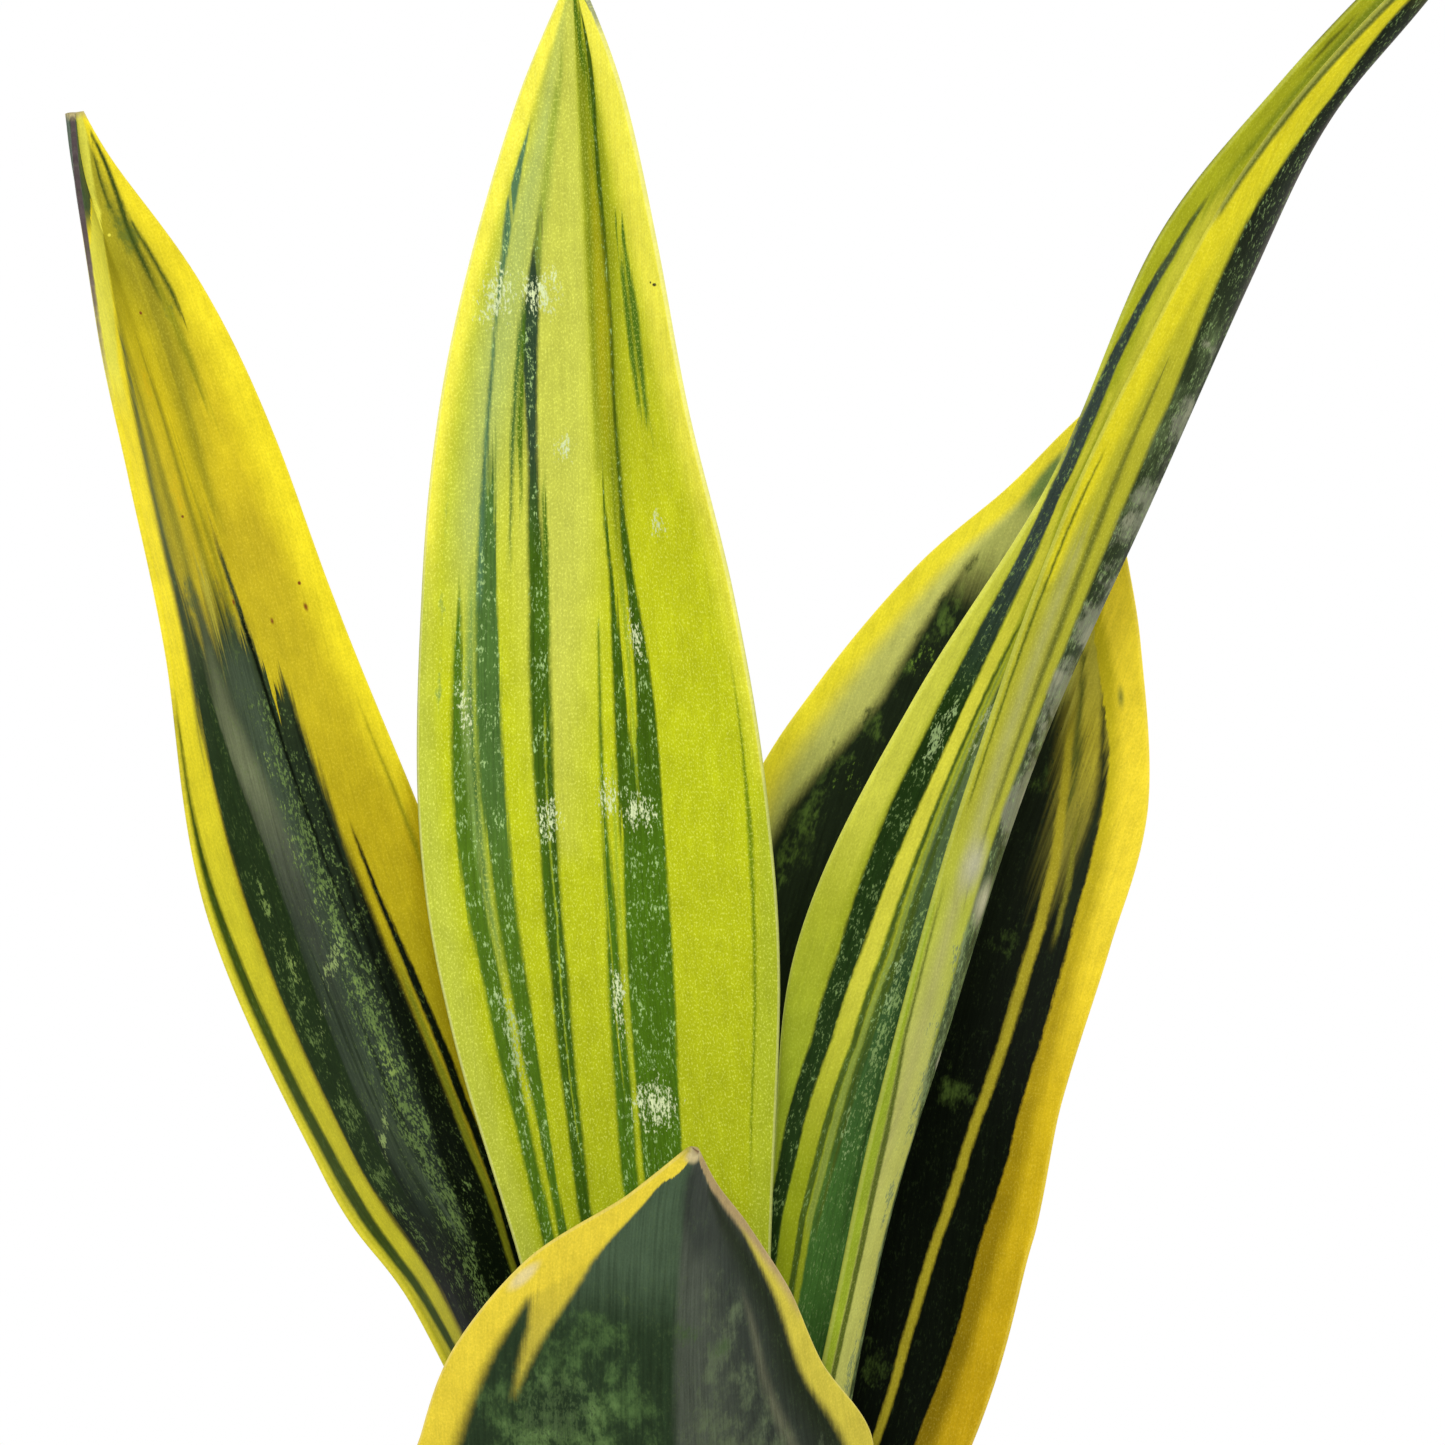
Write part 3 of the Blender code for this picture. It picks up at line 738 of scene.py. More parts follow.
# %% Break a mask up
def shared_height(tree, height):
    node = add_node(tree, "ShaderNodeMapRange")
    feed(tree, node.inputs["Value"], height)
    feed(tree, node.inputs["From Min"], LOWEST_MM / 1000)
    feed(tree, node.inputs["From Max"], HIGHEST_MM / 1000)
    return node.outputs[0]


def centred(tree, value):
    return calculate(tree, "SUBTRACT", value, 0.5)


def broken(tree, mask, skin, cut):
    """Break a mask up by a skin pattern. A weaker mask leaves fewer pieces, not fainter ones."""
    weaker = calculate(tree, "SUBTRACT", mask, 1.0)
    moved = times_plus(tree, weaker, cut.reach, skin[cut.pattern])
    pieces = soft_step(tree, moved, cut.start, cut.end)
    return times(tree, pieces, soft_step(tree, mask, 0.0, MASK_FOOT))


print("a broken mask fades out below", MASK_FOOT)

# %% [markdown]
# The blade is read once: where a point lies on it, how the fibres fray its height, which face it is on
# and what the skin is like there. Every marking then turns those readings into a mask of its own.

# %% Read the blade
Blade = namedtuple("Blade", "place across height calm ragged unthreaded outer inner skin fibre")


def read_blade(tree, look):
    place = add_node(tree, "ShaderNodeUVMap", uv_map="place").outputs[0]
    skin_place = add_node(tree, "ShaderNodeUVMap", uv_map="skin").outputs[0]
    split = add_node(tree, "ShaderNodeSeparateXYZ")
    feed(tree, split.inputs[0], place)
    outer = add_node(tree, "ShaderNodeAttribute", attribute_name="outer").outputs["Fac"]
    inner = calculate(tree, "SUBTRACT", 1.0, outer)
    skin = use_group(tree, LEAF_SKIN, Skin=skin_place, Shift=look.shift)
    fibre = centred(tree, skin["Fibres"])
    across = split.outputs[0]
    for pattern, amount in WANDERS:
        across = times_plus(tree, centred(tree, skin[pattern]), amount, across)
    height = split.outputs[1]
    calm = shared_height(tree, times_plus(tree, fibre, CALM_FIBRES_M, height))
    frayed = times_plus(tree, fibre, RAGGED_FIBRES_M, height)
    frayed = times_plus(tree, centred(tree, skin["Strands"]), RAGGED_STRANDS_M, frayed)
    ragged = shared_height(tree, frayed)
    threads = soft_step(tree, skin["Strands"], *THREADS)
    unthreaded = calculate(tree, "SUBTRACT", 1.0, times(tree, threads, THREAD_STRENGTH))
    return Blade(place, across, height, calm, ragged, unthreaded, outer, inner, skin, fibre)


def marking_mask(tree, blade, mark):
    share = blade.ragged if mark.grain == "ragged" else blade.calm
    path = stripe_path(tree, share, mark.knots, mark.fade)
    mask = use_group(tree, LEAF_STRIPE, Across=blade.across, Path=path, Softness=mark.soft)["Mask"]
    if mark.side != "both":
        mask = times(tree, mask, blade.outer if mark.side == "outer" else blade.inner)
    if mark.grain in CUTS:
        mask = broken(tree, mask, blade.skin, CUTS[mark.grain])
    if mark.grain == "threaded":
        mask = times(tree, mask, blade.unthreaded)
    return mask


def spot_mask(tree, blade, spot):
    middle = (spot.u, spot.height_mm / 1000, 0.0)
    size = (spot.half_u, spot.half_mm / 1000, 1.0)
    mask = use_group(tree, LEAF_SPOT, Place=blade.place, Middle=middle, Size=size, Softness=spot.soft)["Mask"]
    if spot.grain in CUTS:
        mask = broken(tree, mask, blade.skin, CUTS[spot.grain])
    return mask


print("readings of a blade:", ", ".join(Blade._fields))

# %% [markdown]
# The markings are laid over the ground like coats of paint, and the spots over them. A mask of the
# green tissue is carried along, because it says where the flecks go and how strongly fibres show.

# %% Lay markings and spots
def painted(tree, blade, paints, paint):
    """A colour or the name of one of the leaf's paints, or such colours at several heights."""
    if isinstance(paint, list):
        stops = [(height_mm, paints.get(tint, tint)) for height_mm, tint in paint]
        return height_ramp(tree, blade.calm, stops)
    return paints.get(paint, paint)


def lay_markings(tree, blade, paints, ground, markings, tissue):
    """The colour with all markings, and the mask of the green tissue."""
    colour = painted(tree, blade, paints, ground)
    green = 1.0 if tissue == "green" else 0.0
    for mark in markings:
        mask = marking_mask(tree, blade, mark)
        colour = mix_colours(tree, mask, colour, painted(tree, blade, paints, mark.paint))
        if mark.tissue == "green":
            green = calculate(tree, "MAXIMUM", green, mask)
        if mark.tissue == "yellow":
            green = times(tree, green, calculate(tree, "SUBTRACT", 1.0, mask))
    return colour, green


def lay_spots(tree, blade, paints, spots, colour):
    """The colour with all spots, and the mask of the dusty ones."""
    dusty = 0.0
    for spot in spots:
        mask = spot_mask(tree, blade, spot)
        colour = mix_colours(tree, mask, colour, painted(tree, blade, paints, spot.paint))
        if spot.grain == "dust":
            dusty = calculate(tree, "MAXIMUM", dusty, mask)
    return colour, dusty


def streaked(tree, blade, green, colour):
    """A colour shaded by the fibres, most of all in green tissue, and by the skin's tone and grit."""
    shade = times_plus(tree, blade.fibre, times_plus(tree, green, GREEN_STREAKS, STREAKS), 1.0)
    shade = times_plus(tree, centred(tree, blade.skin["Tone"]), TONE, shade)
    shade = times_plus(tree, centred(tree, blade.skin["Grit"]), GRIT, shade)
    shades = add_node(tree, "ShaderNodeCombineColor")
    for channel in range(3):
        feed(tree, shades.inputs[channel], shade)
    return mix_colours(tree, 1.0, colour, shades.outputs[0], "MULTIPLY")


print("fibres show", round((STREAKS + GREEN_STREAKS) / STREAKS, 1), "times as strongly in green tissue")

# %% [markdown]
# The whole finish goes from the ground outwards: markings, flecks, spots, grit in the yellow, fibres,
# the pale foot in the soil and the pale rim. Dust makes the skin duller, and specks and fibres raise it.

# %% Finish of a leaf
def leaf_finish(name, paints, ground, markings, spots, look):
    material, tree, shader = new_material(name + "_skin")
    blade = read_blade(tree, look)
    colour, green = lay_markings(tree, blade, paints, ground, markings, look.tissue)
    flecks = times(tree, broken(tree, green, blade.skin, FLECKS), look.flecks)
    colour = mix_colours(tree, flecks, colour, look.fleck_paint)
    colour, dusty = lay_spots(tree, blade, paints, spots, colour)
    yellow = calculate(tree, "SUBTRACT", 1.0, green)
    grains = soft_step(tree, blade.skin[GRAINS.pattern], GRAINS.start, GRAINS.end)
    grains = times(tree, times(tree, grains, yellow), look.grain)
    colour = mix_colours(tree, grains, colour, look.grain_paint)
    colour = streaked(tree, blade, green, colour)
    pale = soft_step(tree, blade.height, *FOOT_PALE_M)
    colour = mix_colours(tree, times(tree, pale, FOOT_PALE_SHARE), colour, FOOT_PALE)
    rim = times(tree, soft_step(tree, times(tree, blade.outer, blade.inner), *RIM), yellow)
    colour = mix_colours(tree, times(tree, rim, look.rim), colour, look.rim_paint)
    feed(tree, shader["Base Color"], colour)
    rough = times_plus(tree, blade.fibre, FIBRE_ROUGHNESS, look.roughness)
    feed(tree, shader["Roughness"], times_plus(tree, dusty, BLOOM_ROUGHNESS, rough))
    raised = times_plus(tree, blade.skin["Specks"], SPECK_RELIEF, blade.skin["Fibres"])
    relief(tree, shader, raised, SKIN_RELIEF, SKIN_RELIEF_DEPTH)
    shader["Specular IOR Level"].default_value = SKIN_SPECULAR
    return material


def dress(name, *finish):
    fine_leaves[name].data.materials.append(leaf_finish(name, *finish))
    paints, ground, markings, spots, look = finish
    print(name, "paints:", len(paints), "markings:", len(markings), "spots:", len(spots))


print("grains of a marking:", ", ".join(("plain", "ragged", "threaded", *CUTS)))

# %% [markdown]
# ### The centre leaf
#
# Lime green, lit from the front. Its left half is paler, the crease is sharp near the tip, and dark
# green stripes run down both sides of it. Colours are in linear light, as Blender takes them.

# %% Centre leaf
CENTRE = {
    "lime pale": (0.56, 0.585, 0.08), "lime deep": (0.3, 0.355, 0.01), "lime edge": (0.5, 0.555, 0.05),
    "lime low": (0.42, 0.49, 0.022), "yellow": (0.9, 0.84, 0.075), "green": (0.078, 0.165, 0.008),
    "green bright": (0.07, 0.16, 0.006), "green deep": (0.052, 0.115, 0.005), "ink": (0.034, 0.066, 0.03),
    "teal": (0.075, 0.16, 0.03), "blue": (0.09, 0.19, 0.085), "faint": (0.22, 0.34, 0.07),
    "moss": (0.062, 0.112, 0.006), "line": (0.17, 0.25, 0.004), "thread": (0.34, 0.44, 0.02),
    "veil": (0.44, 0.52, 0.12), "dust": (0.66, 0.74, 0.42), "speck": (0.03, 0.02, 0.01),
}
# The ground darkens towards the foot of the blade: painted shade, where the leaves round it shade the lower
# part.
CENTRE_GROUND = [
    (76, (0.38, 0.42, 0.03)), (190, (0.43, 0.49, 0.01)), (230, (0.47, 0.525, 0.01)),
    (262, (0.52, 0.58, 0.01)), (300, (0.57, 0.61, 0.012)), (320, (0.56, 0.595, 0.018)),
    (385, (0.55, 0.57, 0.03)),
]

# %% Markings of the centre leaf
CENTRE_MARKINGS = [
    # Painted sheen: a whitish pale lime laid over the left half beside the crease, in place of a soft
    # reflection.
    Marking("pale left half", "lime pale", [(250, -0.2, 0), (300, -0.25, 0.28), (385, -0.3, 0.36)], 0.22),
    Marking("deep right half", "lime deep", [(290, 0.22, 0), (312, 0.22, 0.12), (340, 0.24, 0.2),
        (370, 0.24, 0.24), (385, 0.2, 0.22)], 0.12),
    Marking("yellow right margin", "yellow", [(262, 1.02, 0.01), (300, 1.02, 0.1), (330, 1.02, 0.26),
        (350, 1.02, 0.42), (370, 1.02, 0.52), (385, 1, 0.6)], 0.14),
    Marking("yellow left margin", "yellow", [(270, -1.02, 0), (300, -1.02, 0.06), (340, -1.02, 0.12),
        (355, -1.02, 0.19), (372, -1.02, 0.34), (385, -1, 0.5)], 0.07),
    # Painted sheen: a pale grey reflection laid over the upper left half.
    Marking("grey veil of the left half", "veil", [(300, -0.74, 0.1), (330, -0.66, 0.16), (350, -0.6, 0.14),
        (362, -0.52, 0.1)], 0.14, fade=24),
    Marking("low left edge", "lime edge", [(76, -1, 0.15), (240, -1, 0.15), (290, -1, 0.06)], 0.07, fade=10),
    Marking("low right edge", "lime low", [(76, 1, 0.16), (225, 1, 0.15), (250, 1, 0.08)], 0.05, fade=10),
    Marking("outer left stripe", "green", [(76, -0.62, 0.06), (150, -0.72, 0.05), (190, -0.75, 0.045),
        (210, -0.72, 0.048), (230, -0.705, 0.055), (250, -0.74, 0.06), (262, -0.755, 0.055),
        (272, -0.775, 0.04), (284, -0.795, 0.02)], 0.018, "ragged", tissue="green", fade=6),
    Marking("teal haze", "faint", [(236, -0.64, 0.012), (255, -0.68, 0.03), (272, -0.72, 0.035),
        (288, -0.72, 0.02)], 0.03, fade=8),
    Marking("teal line", "teal", [(240, -0.655, 0.006), (260, -0.685, 0.012), (276, -0.715, 0.008)], 0.016,
        "threaded"),
    Marking("inner left stripe", [(240, "green"), (262, "teal"), (300, "teal")], [(76, -0.42, 0.06),
        (150, -0.54, 0.04), (192, -0.63, 0.035), (210, -0.58, 0.042), (230, -0.56, 0.052),
        (250, -0.565, 0.06), (262, -0.595, 0.07), (280, -0.62, 0.07), (292, -0.64, 0.058),
        (306, -0.655, 0.038)], 0.018, "ragged", tissue="green", fade=8),
    Marking("thin blue line", "blue", [(290, -0.675, 0.014), (312, -0.69, 0.014), (325, -0.7, 0.012),
        (334, -0.72, 0.012), (342, -0.73, 0.028), (350, -0.75, 0.048), (356, -0.74, 0.038),
        (361, -0.72, 0.012)], 0.018, "threaded", tissue="green"),
    Marking("faint outer line", "faint", [(262, -0.88, 0.006), (280, -0.885, 0.022), (306, -0.89, 0.008)],
        0.03, "clouds", fade=8),
    Marking("middle left stripe", [(296, "green deep"), (312, "ink")], [(76, -0.26, 0.05),
        (150, -0.36, 0.05), (195, -0.43, 0.05), (210, -0.37, 0.05), (230, -0.315, 0.052),
        (250, -0.295, 0.052), (270, -0.32, 0.06), (290, -0.345, 0.055), (302, -0.385, 0.036),
        (310, -0.4, 0.03), (320, -0.43, 0.042), (330, -0.465, 0.062), (340, -0.462, 0.046),
        (347, -0.455, 0.024)], 0.018, tissue="green", fade=5),
    Marking("soft streak above it", (0.3, 0.38, 0.04), [(346, -0.44, 0.03), (356, -0.42, 0.04),
        (368, -0.38, 0.05)], 0.06, "ragged", fade=8),
    Marking("thin streak by it", "green", [(284, -0.29, 0.014), (300, -0.31, 0.016), (308, -0.33, 0.008)],
        0.014, "ragged"),
    Marking("spur of it", "teal", [(298, -0.515, 0.006), (312, -0.53, 0.016), (330, -0.53, 0.018)], 0.018,
        "ragged", fade=7),
    Marking("second spur", "green", [(306, -0.46, 0.006), (318, -0.49, 0.014), (330, -0.51, 0.01)], 0.014,
        "ragged", fade=6),
    Marking("lime thread", "thread", [(205, -0.375, 0.002), (240, -0.285, 0.004), (270, -0.302, 0.004)],
        0.008),
    Marking("thin right stripe", "moss", [(296, 0.26, 0.026), (305, 0.265, 0.022), (320, 0.275, 0.024),
        (330, 0.3, 0.032), (345, 0.295, 0.04), (353, 0.3, 0.042), (360, 0.33, 0.036), (366, 0.38, 0.05),
        (372, 0.44, 0.06), (377, 0.46, 0.04)], 0.022, tissue="green", fade=5),
    Marking("second thin line", (0.2, 0.26, 0.01), [(300, 0.2, 0.008), (330, 0.23, 0.014),
        (360, 0.24, 0.026)], 0.024, "ragged", fade=8),
    Marking("amber tint beside the crease", (0.42, 0.41, 0.01), [(318, 0.17, 0.05), (332, 0.17, 0.11),
        (346, 0.16, 0.1), (356, 0.15, 0.05)], 0.08, fade=10),
    Marking("shade in the crease", (0.24, 0.29, 0.012), [(316, 0.07, 0.02), (340, 0.08, 0.05),
        (372, 0.12, 0.1), (384, 0.15, 0.15)], 0.06, fade=12),
    Marking("broad right band, left part", "green deep", [(252, 0.19, 0.07), (270, 0.17, 0.05),
        (280, 0.155, 0.035), (290, 0.145, 0.024), (303, 0.11, 0.012)], 0.016, "ragged", tissue="green",
        fade=6),
    Marking("broad right band", [(246, "green bright"), (268, "green deep")], [(76, 0.16, 0.12),
        (150, 0.18, 0.14), (200, 0.215, 0.145), (230, 0.24, 0.138), (250, 0.26, 0.125), (262, 0.3, 0.088),
        (270, 0.325, 0.062), (280, 0.318, 0.05), (290, 0.29, 0.036), (300, 0.265, 0.024)], 0.014,
        tissue="green"),
    Marking("lime gap in the broad band", "thread", [(258, 0.245, 0.003), (268, 0.24, 0.008),
        (277, 0.235, 0.012), (290, 0.215, 0.016)], 0.012, "threaded"),
    Marking("band beside the midrib", "green bright", [(76, -0.08, 0.06), (150, -0.07, 0.07),
        (200, -0.045, 0.068), (210, -0.015, 0.065), (220, 0.005, 0.055), (230, 0.02, 0.042),
        (240, 0.04, 0.033), (250, 0.035, 0.022), (258, 0.03, 0.014), (284, 0.025, 0.008)], 0.02, "threaded",
        tissue="green"),
    Marking("lime thread by the band", "thread", [(206, 0.05, 0.004), (225, 0.085, 0.008), (262, 0.1, 0.01)],
        0.012),
    Marking("short dark pair, left", (0.1, 0.2, 0.012), [(318, 0.535, 0.018), (332, 0.525, 0.036),
        (343, 0.51, 0.022)], 0.024, "ragged"),
    Marking("short dark pair, right", (0.1, 0.2, 0.012), [(314, 0.6, 0.018), (330, 0.61, 0.046),
        (345, 0.58, 0.026)], 0.024, "ragged"),
    Marking("line at the right", "line", [(205, 0.84, 0.006), (235, 0.86, 0.01), (252, 0.885, 0.014),
        (272, 0.905, 0.006)], 0.012, fade=10),
    Marking("dark touch at the tip", "green", [(366, 0.34, 0.03), (373, 0.24, 0.06), (379, 0.16, 0.12),
        (385, 0.15, 0.3)], 0.1, "ragged"),
    Marking("dark back of the tip", (0.05, 0.1, 0.05), [(378, 0.99, 0.04), (385, 0.95, 0.25)], 0.03),
]

# %% Spots and finish of the centre leaf
CENTRE_SPOTS = [
    Spot("dust near the top, left", "dust", -0.74, 336, 0.26, 8.5, 0.9, "dust"),
    Spot("dust near the top, middle", "dust", -0.4, 336, 0.3, 7.5, 0.9, "dust"),
    Spot("dust on the middle stripe", "dust", -0.29, 255, 0.13, 6.5, 0.9, "dust"),
    Spot("dust beside the midrib", "dust", 0.06, 258, 0.13, 7, 0.9, "dust"),
    Spot("dust on the broad band", "dust", 0.24, 255.5, 0.18, 6.5, 0.9, "dust"),
    Spot("dust low on the band", "dust", 0.2, 210, 0.24, 7.5, 0.7, "dust"),
    Spot("dust over it", "dust", 0.03, 226, 0.09, 11, 0.9, "dust"),
    Spot("dust high on the band", "dust", 0.3, 283, 0.1, 9, 1, "dust"),
    Spot("faint dust on the stripe", (0.4, 0.52, 0.24), -0.64, 222, 0.16, 18, 1, "dust"),
    Spot("dust on the left edge", "dust", -0.74, 272, 0.1, 9, 1, "dust"),
    Spot("dust on the right half", "dust", 0.55, 300, 0.12, 4.5, 1, "dust"),
    Spot("dust on the midrib", "dust", -0.2, 312, 0.12, 5, 1, "dust"),
    Spot("dark speck", "speck", 0.905, 336.2, 0.035, 0.35),
    Spot("dark dot", "speck", 0.86, 336.6, 0.012, 0.25),
]
dress(
    "leaf_centre", CENTRE, CENTRE_GROUND, CENTRE_MARKINGS, CENTRE_SPOTS,
    LeafSkin(
        tissue="yellow", fleck_paint=(0.4, 0.58, 0.22), flecks=0.9, grain_paint=(0.88, 0.92, 0.2),
        grain=0.34, rim_paint=(0.84, 0.84, 0.4), rim=0.4, shift=(0, 0, 0), roughness=0.42,
    ),
)

# %% [markdown]
# ### The left leaf
#
# Mustard above and near black below, with a ragged change between them, and bright yellow margins.

# %% Left leaf
LEFT = {
    "lemon": (0.86, 0.715, 0.02), "lemon low": (0.63, 0.575, 0.026), "amber": (0.45, 0.335, 0.004),
    "amber spot": (0.62, 0.44, 0.008), "olive shade": (0.3, 0.265, 0.012),
    "body light": (0.034, 0.052, 0.02), "smoke": (0.115, 0.135, 0.035), "slate": (0.062, 0.088, 0.052),
    "bloom": (0.19, 0.218, 0.118), "dark strip": (0.016, 0.034, 0.009), "black": (0.003, 0.006, 0.002),
    "moss": (0.125, 0.195, 0.055), "speckles": (0.145, 0.225, 0.066), "moss bright": (0.25, 0.35, 0.09),
    "moss pale": (0.32, 0.42, 0.15), "outer green": (0.045, 0.075, 0.004), "olive": (0.19, 0.2, 0.01),
    "line": (0.24, 0.225, 0.004), "brush": (0.04, 0.068, 0.006), "touch": (0.26, 0.25, 0.008),
    "folded": (0.04, 0.075, 0.036), "fold edge": (0.74, 0.7, 0.07), "tip": (0.5, 0.42, 0.2),
    "brown": (0.22, 0.06, 0.01),
}
LEFT_GROUND = [
    (76, (0.3, 0.25, 0.02)), (200, (0.34, 0.28, 0.01)), (232, (0.46, 0.37, 0.008)),
    (250, (0.49, 0.385, 0.008)), (272, (0.56, 0.45, 0.014)), (296, (0.52, 0.41, 0.014)),
    (306, (0.63, 0.5, 0.014)), (318, (0.63, 0.505, 0.014)), (328, (0.56, 0.465, 0.014)),
    (340, (0.36, 0.32, 0.014)), (366, (0.42, 0.38, 0.02)),
]
LEFT_BODY = [
    (76, (0.004, 0.007, 0.003)), (182, (0.004, 0.007, 0.003)), (196, (0.01, 0.017, 0.008)),
    (212, (0.01, 0.017, 0.008)), (262, (0.016, 0.027, 0.012)), (282, (0.034, 0.052, 0.018)),
]

